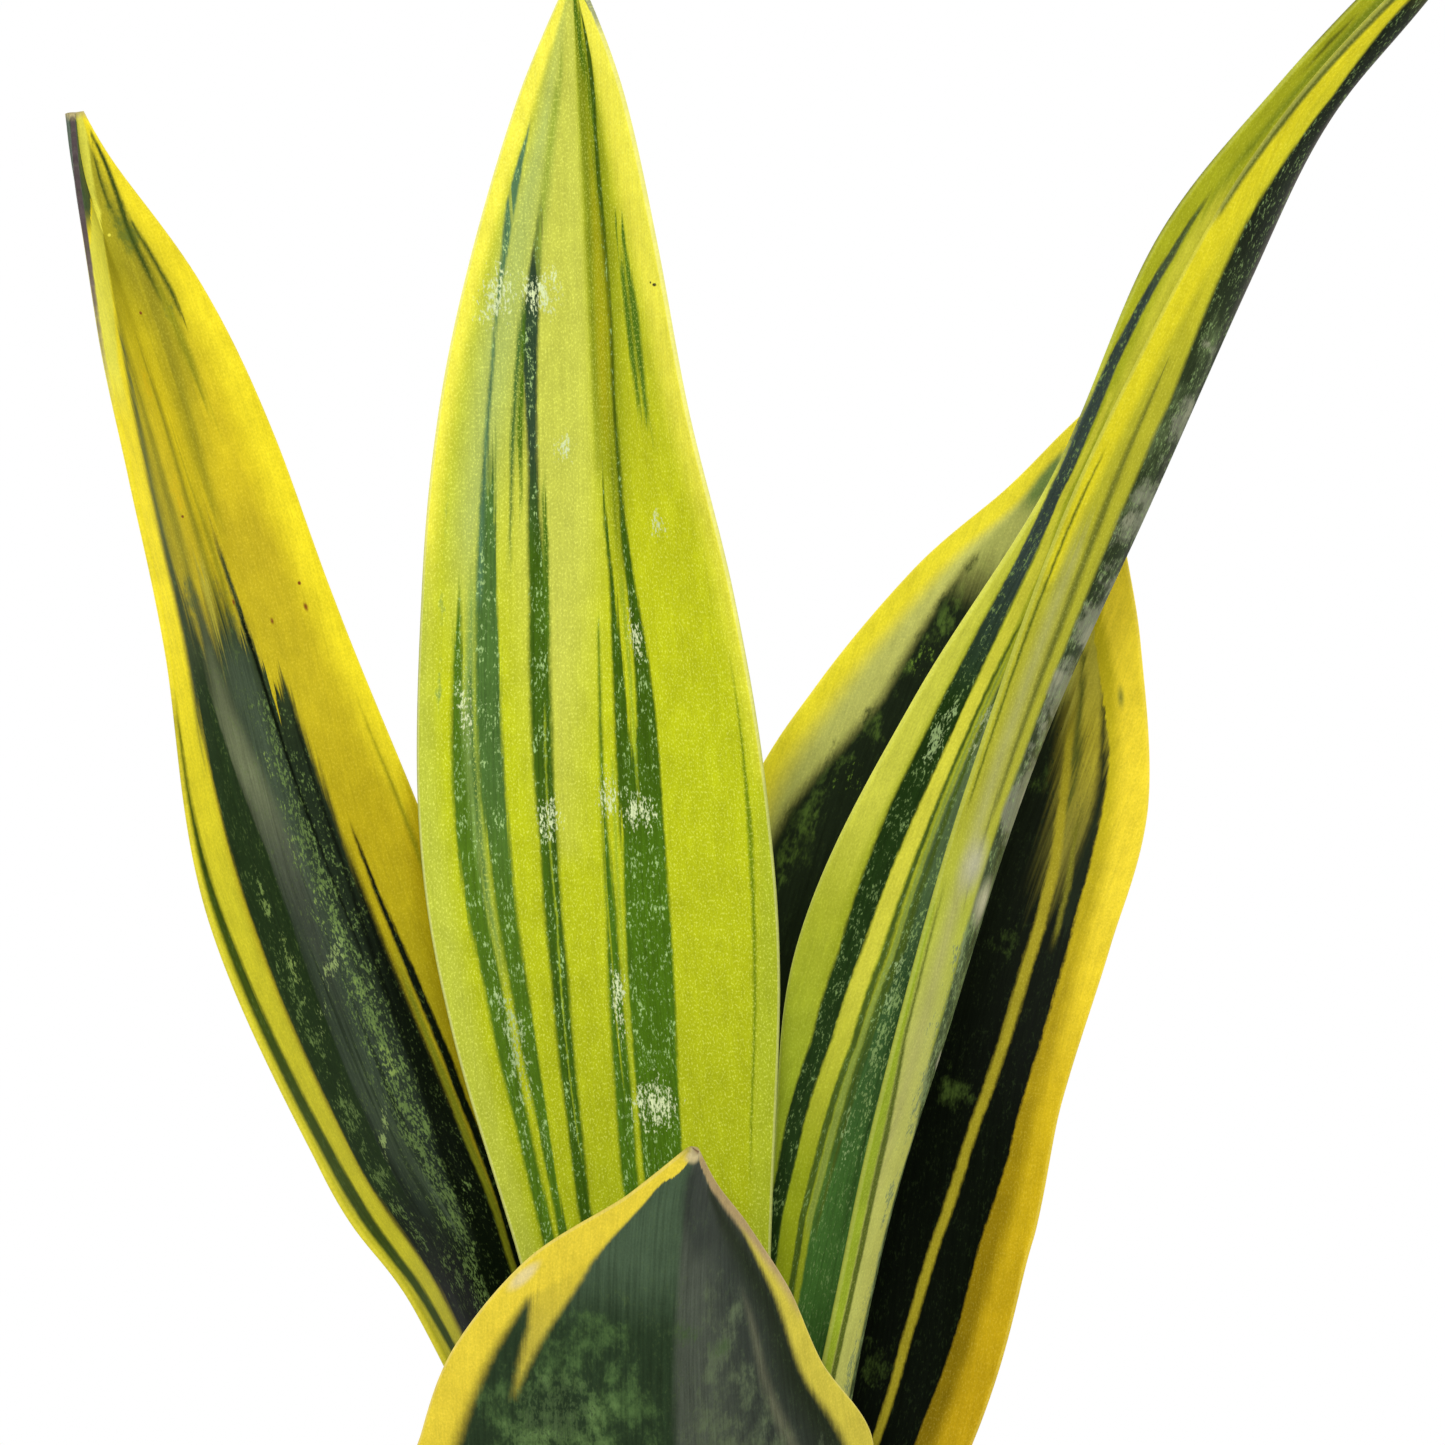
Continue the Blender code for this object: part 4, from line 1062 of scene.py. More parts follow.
# %% Markings of the left leaf
LEFT_MARKINGS = [
    Marking("bright right margin", "lemon", [(250, 1, 0.05), (275, 1, 0.22), (300, 1, 0.3), (340, 1, 0.32),
        (366, 1, 0.4)], 0.18),
    Marking("amber low right", "amber", [(76, 0.9, 0.3), (200, 0.95, 0.3), (240, 1, 0.2), (256, 1, 0.02)],
        0.12),
    Marking("olive shade by the left margin", "olive shade", [(296, -0.6, 0.05), (320, -0.62, 0.1),
        (345, -0.5, 0.12)], 0.1, "ragged", fade=8),
    Marking("olive streak, left", "olive shade", [(284, -0.45, 0.03), (300, -0.44, 0.08),
        (325, -0.44, 0.05)], 0.06, "ragged", fade=9),
    Marking("olive streak, middle", "olive shade", [(284, -0.13, 0.05), (298, -0.13, 0.05),
        (322, -0.1, 0.03)], 0.05, "ragged", fade=9),
    Marking("olive haze below the brush", "olive shade", [(306, 0.16, 0.06), (322, 0.26, 0.12),
        (336, 0.36, 0.12)], 0.12, "ragged", fade=9),
    Marking("olive streak, right", "olive shade", [(282, 0.03, 0.03), (296, 0.02, 0.03), (310, 0, 0.015)],
        0.04, "ragged", fade=9),
    Marking("left margin", [(245, "lemon low"), (280, "lemon")], [(76, -1, 0.46), (190, -1, 0.4),
        (250, -1, 0.36), (265, -1, 0.31), (280, -1, 0.26), (306, -1, 0.25), (318, -1, 0.31), (328, -1, 0.43),
        (336, -1, 0.56), (343, -1, 0.74), (349, -1, 0.9)], 0.06, tissue="yellow"),
    # A dark green line beside the left margin, deepened with painted shadow along the margin's pale strip.
    Marking("dark line inside the left margin", [(290, "body light"), (306, "smoke")], [(274, -0.67, 0.09),
        (285, -0.68, 0.07), (296, -0.7, 0.055), (308, -0.68, 0.04), (318, -0.63, 0.035), (328, -0.51, 0.03)],
        0.05, "ragged", tissue="green", fade=8),
    Marking("smoky change", [(276, "slate"), (288, "smoke")], [(272, -0.25, 0.48), (280, -0.28, 0.42),
        (286, -0.44, 0.22), (291, -0.52, 0.12)], 0.12, "clouds", tissue="green", fade=12),
    Marking("smoke right of the notch", "smoke", [(272, 0.06, 0.16), (283, -0.02, 0.14), (289, -0.04, 0.1)],
        0.12, "clouds", fade=10),
    Marking("dark body", LEFT_BODY, [(76, -0.02, 0.45), (150, -0.02, 0.48), (180, -0.075, 0.485),
        (190, -0.075, 0.525), (200, -0.035, 0.535), (212, -0.05, 0.55), (220, -0.065, 0.545),
        (240, -0.085, 0.515), (250, -0.1, 0.52), (262, -0.135, 0.525), (270, -0.165, 0.52),
        (275, -0.22, 0.48), (279, -0.3, 0.4), (281, -0.34, 0.36)], 0.04, "ragged", tissue="green", fade=12),
    Marking("slate haze", [(196, (0.02, 0.03, 0.02)), (216, (0.042, 0.06, 0.038)),
        (250, (0.06, 0.086, 0.052)), (278, "slate")], [(194, -0.1, 0.3), (204, -0.05, 0.36),
        (220, -0.02, 0.26), (250, 0, 0.16), (278, -0.1, 0.2)], 0.14, "threaded", fade=8),
    Marking("long dark streak", "body light", [(272, 0.14, 0.04), (282, 0.12, 0.03), (289, 0.1, 0.02),
        (298, 0.08, 0.008)], 0.02, "ragged"),
    Marking("yellow notch", (0.44, 0.39, 0.04), [(278, -0.26, 0.01), (284, -0.25, 0.035),
        (292, -0.22, 0.06)], 0.04, "ragged", tissue="yellow"),
    # Painted sheen: a pale grey band laid into the colour of the dark lower blade, in place of a softbox's
    # reflection. It changes the colour only, not the roughness.
    Marking("waxy bloom", [(238, (0.052, 0.065, 0.046)), (250, (0.09, 0.106, 0.07)), (262, "bloom"),
        (280, (0.1, 0.118, 0.06))], [(231, -0.05, 0.04), (236, -0.06, 0.1), (243, -0.07, 0.13),
        (250, -0.1, 0.135), (257, -0.17, 0.13), (265, -0.29, 0.125), (272, -0.38, 0.11), (279, -0.42, 0.07)],
        0.09, fade=12),
    Marking("dark strip left of the bloom", "dark strip", [(200, -0.43, 0.155), (210, -0.425, 0.165),
        (230, -0.42, 0.175), (240, -0.41, 0.185), (250, -0.43, 0.18), (262, -0.52, 0.135),
        (270, -0.58, 0.11), (277, -0.62, 0.07)], 0.014, tissue="green", fade=5),
    Marking("speckled right part", "speckles", [(176, 0.1, 0.26), (205, 0.16, 0.2), (225, 0.17, 0.16),
        (250, 0.17, 0.13), (272, 0.12, 0.1)], 0.2, "dust"),
    Marking("bright specks in it", "moss bright", [(214, 0.16, 0.03), (238, 0.12, 0.07), (252, 0.06, 0.06),
        (264, -0.02, 0.06)], 0.14, "mottle"),
    Marking("dark thread, left", "black", [(232, 0.275, 0.006), (250, 0.235, 0.01), (268, 0.17, 0.014),
        (284, 0.12, 0.016)], 0.012),
    Marking("dark thread, right", "black", [(205, 0.36, 0.03), (225, 0.345, 0.024), (245, 0.36, 0.014),
        (268, 0.33, 0.008)], 0.018),
    Marking("black by the olive thread", "black", [(76, 0.2, 0.25), (186, 0.28, 0.18), (205, 0.4, 0.1),
        (225, 0.42, 0.05), (240, 0.415, 0.02)], 0.04, fade=8),
    Marking("slate streak, low", "slate", [(192, 0.02, 0.1), (204, -0.06, 0.12), (214, -0.12, 0.1)], 0.12,
        "threaded", fade=8),
    Marking("mottles in the strip", "moss", [(190, -0.44, 0.12), (222, -0.44, 0.1), (248, -0.42, 0.08)],
        0.12, "mottle"),
    Marking("bright mottles in the strip", "moss bright", [(228, -0.38, 0.05), (238, -0.39, 0.07),
        (245, -0.42, 0.05)], 0.1, "mottle"),
    Marking("pale crossing", "moss pale", [(223, -0.33, 0.06), (226, -0.24, 0.1), (229, -0.1, 0.12),
        (232, 0.06, 0.1), (234, 0.14, 0.06)], 0.06, "mottle"),
    Marking("small crossing", "moss pale", [(203, -0.24, 0.05), (205, -0.18, 0.06), (208, -0.04, 0.07)],
        0.05, "mottle"),
    Marking("mottles low", "moss", [(181, -0.38, 0.1), (186, -0.14, 0.34), (190, 0.04, 0.32),
        (193, 0.1, 0.2)], 0.16, "mottle"),
    Marking("outer dark stripe", "outer green", [(76, -0.62, 0.05), (150, -0.66, 0.05), (180, -0.83, 0.06),
        (190, -0.87, 0.065), (200, -0.84, 0.076), (215, -0.88, 0.065), (240, -0.9, 0.05),
        (250, -0.93, 0.036), (262, -0.965, 0.02), (272, -0.985, 0.01)], 0.028, tissue="green", fade=8),
    Marking("right dark stripe", "black", [(76, 0.42, 0.04), (150, 0.44, 0.04), (185, 0.5, 0.035),
        (200, 0.595, 0.034), (212, 0.6, 0.034), (225, 0.565, 0.03), (238, 0.525, 0.018),
        (248, 0.505, 0.008)], 0.014, tissue="green"),
    Marking("olive thread", "olive", [(76, 0.36, 0.03), (183, 0.43, 0.028), (205, 0.53, 0.026),
        (222, 0.505, 0.02)], 0.018, fade=10),
    Marking("short line at the right", "line", [(236, 0.885, 0.012), (250, 0.885, 0.014),
        (264, 0.87, 0.003)], 0.022, fade=8),
    Marking("green haze below the tip", [(336, (0.17, 0.19, 0.016)), (350, (0.115, 0.14, 0.014))],
        [(331, 0.5, 0.08), (336, 0.48, 0.15), (341, 0.42, 0.18), (346, 0.46, 0.2), (352, 0.6, 0.22),
        (358, 0.74, 0.16)], 0.12, "clouds", tissue="green"),
    Marking("dark line in it", "brush", [(334.5, 0.45, 0.02), (338, 0.46, 0.045), (341, 0.47, 0.045),
        (344, 0.5, 0.04), (347, 0.58, 0.05), (351, 0.69, 0.055), (355, 0.79, 0.06), (358.5, 0.83, 0.06)],
        0.05),
    Marking("second dark line", "brush", [(333, 0.6, 0.02), (337, 0.62, 0.035), (343, 0.62, 0.025)], 0.04,
        "ragged"),
    Marking("dark line beside the fold", "brush", [(349, 0.4, 0.025), (352, 0.45, 0.035), (356, 0.56, 0.03)],
        0.05),
    Marking("green touch", "touch", [(321, 0.45, 0.02), (328, 0.47, 0.05), (334, 0.5, 0.04)], 0.05, "ragged",
        fade=6),
    Marking("dark back of the fold", "folded", [(348, -1, 0.35), (351, -0.97, 0.97), (354.5, -0.95, 1.05),
        (360, -0.95, 1.08), (364, -0.95, 1.08)], 0.03, tissue="green"),
    Marking("pale edge of the fold", "fold edge", [(326, -0.95, 0.2), (336, -0.9, 0.42), (343, -0.62, 0.38),
        (347.5, -0.2, 0.38), (350, 0.11, 0.1), (354.5, 0.235, 0.125), (360, 0.4, 0.24), (364, 0.45, 0.34)],
        0.05, tissue="yellow", fade=9),
    Marking("purple line along the fold", [(326, (0.3, 0.24, 0.15)), (346, (0.1, 0.075, 0.075))],
        [(326, -1, 0.004), (336, -1, 0.02), (350, -1, 0.05), (362, -1, 0.08)], 0.02, tissue="green", fade=7),
    Marking("dry end of the tip", "tip", [(363.5, 0, 1.1), (366, 0, 1.1)], 0.05, fade=1),
]

# %% Spots and finish of the left leaf
LEFT_SPOTS = [
    Spot("amber patch, high", "amber spot", -0.22, 322, 0.34, 9, 1, "clouds"),
    Spot("amber patch, middle", "amber spot", 0.26, 324, 0.22, 7, 1, "clouds"),
    Spot("amber patch, low", "amber spot", -0.25, 306, 0.34, 12, 1, "clouds"),
    Spot("bright cluster, high", "moss bright", 0, 262, 0.1, 5, 1, "mottle"),
    Spot("bright cluster, middle", "moss bright", 0.1, 240, 0.13, 7, 1, "mottle"),
    Spot("bright cluster, low", "moss bright", 0.16, 214, 0.14, 7, 1, "mottle"),
    Spot("brown scar", "brown", 0.73, 287.6, 0.022, 0.4),
    Spot("brown spot", "brown", 0.715, 284, 0.03, 1, 0.9),
    Spot("small spot", "brown", 0.38, 283.3, 0.022, 0.7, 0.9),
    Spot("spot at the midrib", "brown", 0.08, 287.5, 0.02, 0.7, 0.9),
    Spot("speck above", "brown", -0.28, 301.8, 0.03, 0.3),
    Spot("speck at the top", "brown", 0.13, 332.2, 0.03, 0.35),
    Spot("pale scar", "fold edge", 0.15, 344.3, 0.05, 0.3),
]
dress(
    "leaf_left", LEFT, LEFT_GROUND, LEFT_MARKINGS, LEFT_SPOTS,
    LeafSkin(
        tissue="yellow", fleck_paint=(0.11, 0.17, 0.045), flecks=0.4, grain_paint=(0.86, 0.74, 0.12),
        grain=0.1, rim_paint=(0.86, 0.74, 0.12), rim=0.15, shift=(0.35, 0.12, 0), roughness=0.4,
    ),
)

# %% [markdown]
# ### The right leaf
#
# It rolls up towards its tip, so it shows its striped inner face low down on the left and its dark,
# banded outer face on the right, each with lime and yellow margins.

# %% Right leaf
RIGHT = {
    "margin": (0.7, 0.7, 0.08), "dark": (0.016, 0.04, 0.007), "slate": (0.05, 0.072, 0.07),
    "yellow": (0.7, 0.67, 0.06), "line": (0.075, 0.12, 0.014), "line pale": (0.27, 0.35, 0.055),
    "green": (0.05, 0.125, 0.02), "moss dark": (0.16, 0.18, 0.016), "outer dark": (0.026, 0.04, 0.013),
    "outer top": (0.012, 0.018, 0.008), "outer purple": (0.115, 0.1, 0.088),
    "outer band": (0.265, 0.275, 0.175), "outer low": (0.15, 0.215, 0.075), "outer yellow": (0.4, 0.4, 0.03),
    "outer lime": (0.42, 0.46, 0.045), "outer pale": (0.46, 0.48, 0.105), "ridge": (0.7, 0.62, 0.018),
    "gloss": (0.4, 0.4, 0.11), "crossing": (0.46, 0.45, 0.28), "edge green": (0.082, 0.112, 0.008),
    "olive green": (0.13, 0.15, 0.02),
}
RIGHT_GROUND = [
    (76, (0.3, 0.34, 0.02)), (200, (0.36, 0.42, 0.02)), (300, (0.48, 0.5, 0.03)), (345, (0.48, 0.5, 0.024)),
    (370, (0.46, 0.48, 0.024)), (410, (0.48, 0.48, 0.024)),
]

# %% Markings of the right leaf
RIGHT_MARKINGS = [
    Marking("pale left margin", [(205, (0.34, 0.42, 0.022)), (234, (0.47, 0.51, 0.034)), (252, "margin")],
        [(76, -0.92, 0.16), (205, -0.92, 0.14), (225, -0.92, 0.13), (270, -0.94, 0.11), (298, -1, 0.06)],
        0.04),
    Marking("green band", [(196, (0.062, 0.16, 0.03)), (228, (0.044, 0.1, 0.032)), (254, (0.11, 0.17, 0.07)),
        (282, (0.24, 0.3, 0.13))], [(76, -0.3, 0.26), (150, -0.36, 0.26), (190, -0.33, 0.26),
        (205, -0.26, 0.225), (218, -0.215, 0.21), (231, -0.19, 0.2), (250, -0.23, 0.2), (278, -0.3, 0.16)],
        0.016, tissue="green"),
    Marking("right part of the open face", "green", [(76, 0.3, 0.35), (200, 0.3, 0.35), (320, 0.25, 0.3)],
        0.02, "plain", "inner", "green"),
    Marking("dark stripe", [(268, "dark"), (292, "slate"), (330, "slate"), (346, (0.12, 0.155, 0.03))],
        [(76, -0.88, 0.06), (150, -0.92, 0.06), (190, -0.94, 0.07), (203, -0.84, 0.08), (215, -0.71, 0.072),
        (229, -0.665, 0.074), (250, -0.695, 0.095), (262, -0.7, 0.1), (275, -0.735, 0.088),
        (290, -0.815, 0.08), (300, -0.9, 0.078), (310, -0.925, 0.08), (320, -0.91, 0.065),
        (330, -0.84, 0.045), (337, -0.79, 0.04), (344, -0.785, 0.024)], 0.016, tissue="green"),
    Marking("yellow stripe", [(196, (0.34, 0.4, 0.012)), (226, "yellow"), (296, (0.74, 0.7, 0.06))],
        [(76, -0.75, 0.06), (150, -0.79, 0.06), (190, -0.79, 0.072), (204, -0.69, 0.07),
        (216, -0.575, 0.062), (230, -0.54, 0.055), (250, -0.55, 0.052), (270, -0.575, 0.048),
        (280, -0.61, 0.05), (290, -0.67, 0.05), (300, -0.79, 0.035), (315, -0.78, 0.03)], 0.014,
        tissue="yellow"),
    Marking("thin dark line", "line", [(76, -0.66, 0.03), (150, -0.69, 0.03), (190, -0.685, 0.03),
        (204, -0.585, 0.028), (216, -0.49, 0.02), (230, -0.455, 0.02), (250, -0.485, 0.014),
        (280, -0.535, 0.01)], 0.012, tissue="green"),
    Marking("thin pale line", "line pale", [(190, -0.615, 0.028), (205, -0.518, 0.026), (217, -0.445, 0.018),
        (231, -0.405, 0.015), (250, -0.445, 0.01), (275, -0.49, 0.008)], 0.01),
    Marking("second dark line", "line", [(190, -0.55, 0.03), (205, -0.455, 0.03), (218, -0.4, 0.025),
        (231, -0.36, 0.022), (258, -0.41, 0.014), (272, -0.44, 0.008)], 0.014, "threaded", tissue="green"),
    Marking("dark thread in the band", "dark", [(190, -0.27, 0.02), (225, -0.24, 0.024), (252, -0.25, 0.01)],
        0.02, "threaded"),
    Marking("moss line near the top", "moss dark", [(368, -0.82, 0.03), (370.5, -0.82, 0.05),
        (372, -0.8, 0.03)], 0.04),
    Marking("yellow by the dark stripe", "yellow", [(318, -0.7, 0.05), (332, -0.64, 0.1), (344, -0.62, 0.1)],
        0.06, "ragged", "inner", fade=9),
    Marking("olive shade near the top", (0.22, 0.27, 0.02), [(352, -0.72, 0.03), (366, -0.66, 0.06),
        (384, -0.6, 0.12)], 0.08, "ragged", "inner", fade=10),
    Marking("dark outer face", [(238, (0.03, 0.055, 0.02)), (262, "outer dark"), (326, "outer dark"),
        (344, "outer top")], [(76, -0.2, 0.8), (190, -0.2, 0.78), (210, -0.2, 0.8), (250, -0.2, 0.78),
        (264, -0.2, 0.745), (318, -0.2, 0.745), (335, -0.2, 0.84), (345, -0.2, 0.86), (365, -0.2, 0.74),
        (378, -0.2, 0.98)], 0.05, side="outer", tissue="green", fade=40),
    Marking("green clouds on the outer face", (0.085, 0.12, 0.045), [(76, 0.2, 0.4), (250, 0.3, 0.34),
        (316, 0.3, 0.34), (332, 0.3, 0.16)], 0.14, "clouds", "outer"),
    # Painted sheen: a purple-grey reflection laid along the keel of the outer face.
    Marking("purple grey at the midrib", "outer purple", [(76, 0, 0.1), (255, 0, 0.15), (290, 0, 0.14),
        (332, 0, 0.15), (400, 0, 0.2)], 0.12, side="outer"),
    Marking("dark threads by the midrib", "outer dark", [(200, 0.11, 0.03), (250, 0.16, 0.025),
        (300, 0.13, 0.03), (335, 0.12, 0.03)], 0.03, "ragged", "outer"),
    Marking("dark thread on the outer face", "outer dark", [(208, 0.36, 0.03), (250, 0.38, 0.03),
        (275, 0.35, 0.02), (320, 0.34, 0.02)], 0.03, "ragged", "outer"),
    Marking("outer mottles low", "outer low", [(76, 0.1, 0.6), (200, 0.15, 0.58), (240, 0.2, 0.5)], 0.1,
        "mottle", "outer"),
    Marking("outer mottles high", (0.19, 0.205, 0.13), [(252, 0.2, 0.42), (290, 0.24, 0.34),
        (312, 0.24, 0.24), (330, 0.24, 0.12)], 0.16, "bands", "outer"),
    Marking("outer margin", [(222, "outer pale"), (240, "outer lime"), (258, "outer yellow"),
        (322, (0.46, 0.44, 0.024)), (344, (0.66, 0.6, 0.02))], [(76, 0.7, 0.36), (191, 0.72, 0.31),
        (207, 0.7, 0.32), (215, 0.78, 0.24), (222, 0.82, 0.21), (250, 0.81, 0.22), (264, 0.82, 0.275),
        (318, 0.82, 0.275), (335, 0.86, 0.215), (345, 0.88, 0.21), (365, 0.82, 0.27), (378, 0.92, 0.14)],
        0.045, side="outer", tissue="yellow", fade=40),
    Marking("olive line in it", (0.15, 0.165, 0.018), [(246, 0.715, 0.014), (262, 0.68, 0.024),
        (285, 0.68, 0.034), (300, 0.7, 0.03), (318, 0.74, 0.014)], 0.03, "ragged", "outer"),
    Marking("bright ridge", "ridge", [(290, 0.93, 0.04), (305, 0.92, 0.07), (325, 0.92, 0.1),
        (345, 0.9, 0.13), (400, 0.9, 0.2)], 0.05, side="outer"),
    # Painted highlight: a pale grey band of gloss laid along the outer face near the margin.
    Marking("pale gloss", "gloss", [(206, 0.8, 0.04), (240, 0.8, 0.06), (262, 0.8, 0.06), (290, 0.8, 0.04)],
        0.08, "ragged", "outer", fade=10),
    # Grey mottles of the outer face, partly tissue and partly painted sheen where the face curves round to
    # the silhouette.
    Marking("grey mottles by the silhouette", (0.17, 0.22, 0.1), [(76, 0.36, 0.24), (191, 0.4, 0.22),
        (207, 0.44, 0.22), (222, 0.54, 0.2), (236, 0.58, 0.14)], 0.14, "mottle", "outer"),
    Marking("lime edge", (0.28, 0.37, 0.018), [(76, 0.97, 0.09), (191, 0.97, 0.09), (207, 0.97, 0.07),
        (222, 0.99, 0.035), (240, 1, 0.02)], 0.02, side="outer"),
    Marking("green line inside the edge", "edge green", [(76, 0.83, 0.042), (191, 0.83, 0.042),
        (207, 0.865, 0.034), (222, 0.94, 0.014), (238, 0.95, 0.008)], 0.018, side="outer", fade=8),
    Marking("olive green at the upper edge", "olive green", [(345, 0.99, 0.04), (360, 0.97, 0.06),
        (380, 0.97, 0.06), (408, 0.97, 0.06)], 0.03, side="outer"),
    Marking("dark line at the ridge", "edge green", [(258, 0.955, 0.008), (285, 0.95, 0.012),
        (300, 0.93, 0.01), (306, 0.92, 0.006)], 0.015, side="outer"),
]

# %% Spots and finish of the right leaf
# Pale bands on the outer face: place and half size as shares of the half blade and in millimetres
BAND_HEIGHT = 1.7
RIGHT_BANDS = [
    (0.4, 328, 0.2, 2.2), (0.18, 318, 0.2, 2), (0.42, 309, 0.12, 1.5), (0.4, 301, 0.2, 2.2),
    (0.12, 295, 0.18, 2), (0.22, 283, 0.26, 2.4), (0.44, 277, 0.14, 1.6), (0.3, 270.5, 0.34, 2.6),
    (0.14, 259, 0.18, 2), (0.26, 239, 0.3, 2.2), (0.2, 228, 0.24, 2.2), (0.36, 219, 0.2, 2),
    (0.18, 213, 0.26, 2), (0.34, 204, 0.22, 2),
]
RIGHT_SPOTS = [
    Spot("dense specks", (0.34, 0.46, 0.2), -0.7, 263, 0.1, 7, 0.6, "dust"),
    Spot("specks on the band", (0.26, 0.38, 0.13), -0.32, 222, 0.16, 40, 1, "dust"),
    Spot("scratches on the band, high", (0.36, 0.48, 0.24), -0.33, 228, 0.12, 9, 1, "mottle"),
    Spot("scratches on the band, low", (0.34, 0.48, 0.2), -0.4, 203, 0.13, 11, 1, "mottle"),
    Spot("grey patch at the band", (0.42, 0.48, 0.26), -0.42, 266, 0.08, 7, 0.7, "dust"),
    Spot("pale crossing", "crossing", 0.72, 248, 0.2, 6, 1),
    Spot("pale crossing, right end", "crossing", 0.42, 243, 0.22, 5, 1),
]
RIGHT_SPOTS += [
    Spot(f"pale band {row + 1}", "outer band", u, height_mm, half_u, half_mm * BAND_HEIGHT, 1.0, "bands")
    for row, (u, height_mm, half_u, half_mm) in enumerate(RIGHT_BANDS)
]
dress(
    "leaf_right", RIGHT, RIGHT_GROUND, RIGHT_MARKINGS, RIGHT_SPOTS,
    LeafSkin(
        tissue="yellow", fleck_paint=(0.25, 0.37, 0.13), flecks=0.7, grain_paint=(0.8, 0.8, 0.2), grain=0.12,
        rim_paint=(0.5, 0.54, 0.14), rim=0.25, shift=(0.71, 0.33, 0), roughness=0.4,
    ),
)

# %% [markdown]
# ### The back leaf
#
# Almost black, with broad yellow margins, amber with painted shade lower down, and one thin yellow stripe.

# %% Back leaf
BACK = {
    "black": (0.003, 0.005, 0.002), "night": (0.012, 0.019, 0.008), "pale": (0.42, 0.44, 0.11),
    "green touch": (0.17, 0.25, 0.06), "mustard": (0.28, 0.25, 0.032), "brush": (0.1, 0.115, 0.016),
    "margin": (0.84, 0.73, 0.03), "right margin": (0.92, 0.72, 0.036), "stripe": (0.42, 0.35, 0.02),
    "stripe dim": (0.2, 0.19, 0.015), "moss": (0.13, 0.22, 0.028), "moss dark": (0.06, 0.1, 0.018),
}
BACK_GROUND = [
    (76, "black"), (215, "black"), (258, (0.008, 0.012, 0.005)), (282, (0.02, 0.028, 0.012)),
    (325, (0.05, 0.06, 0.02)),
]

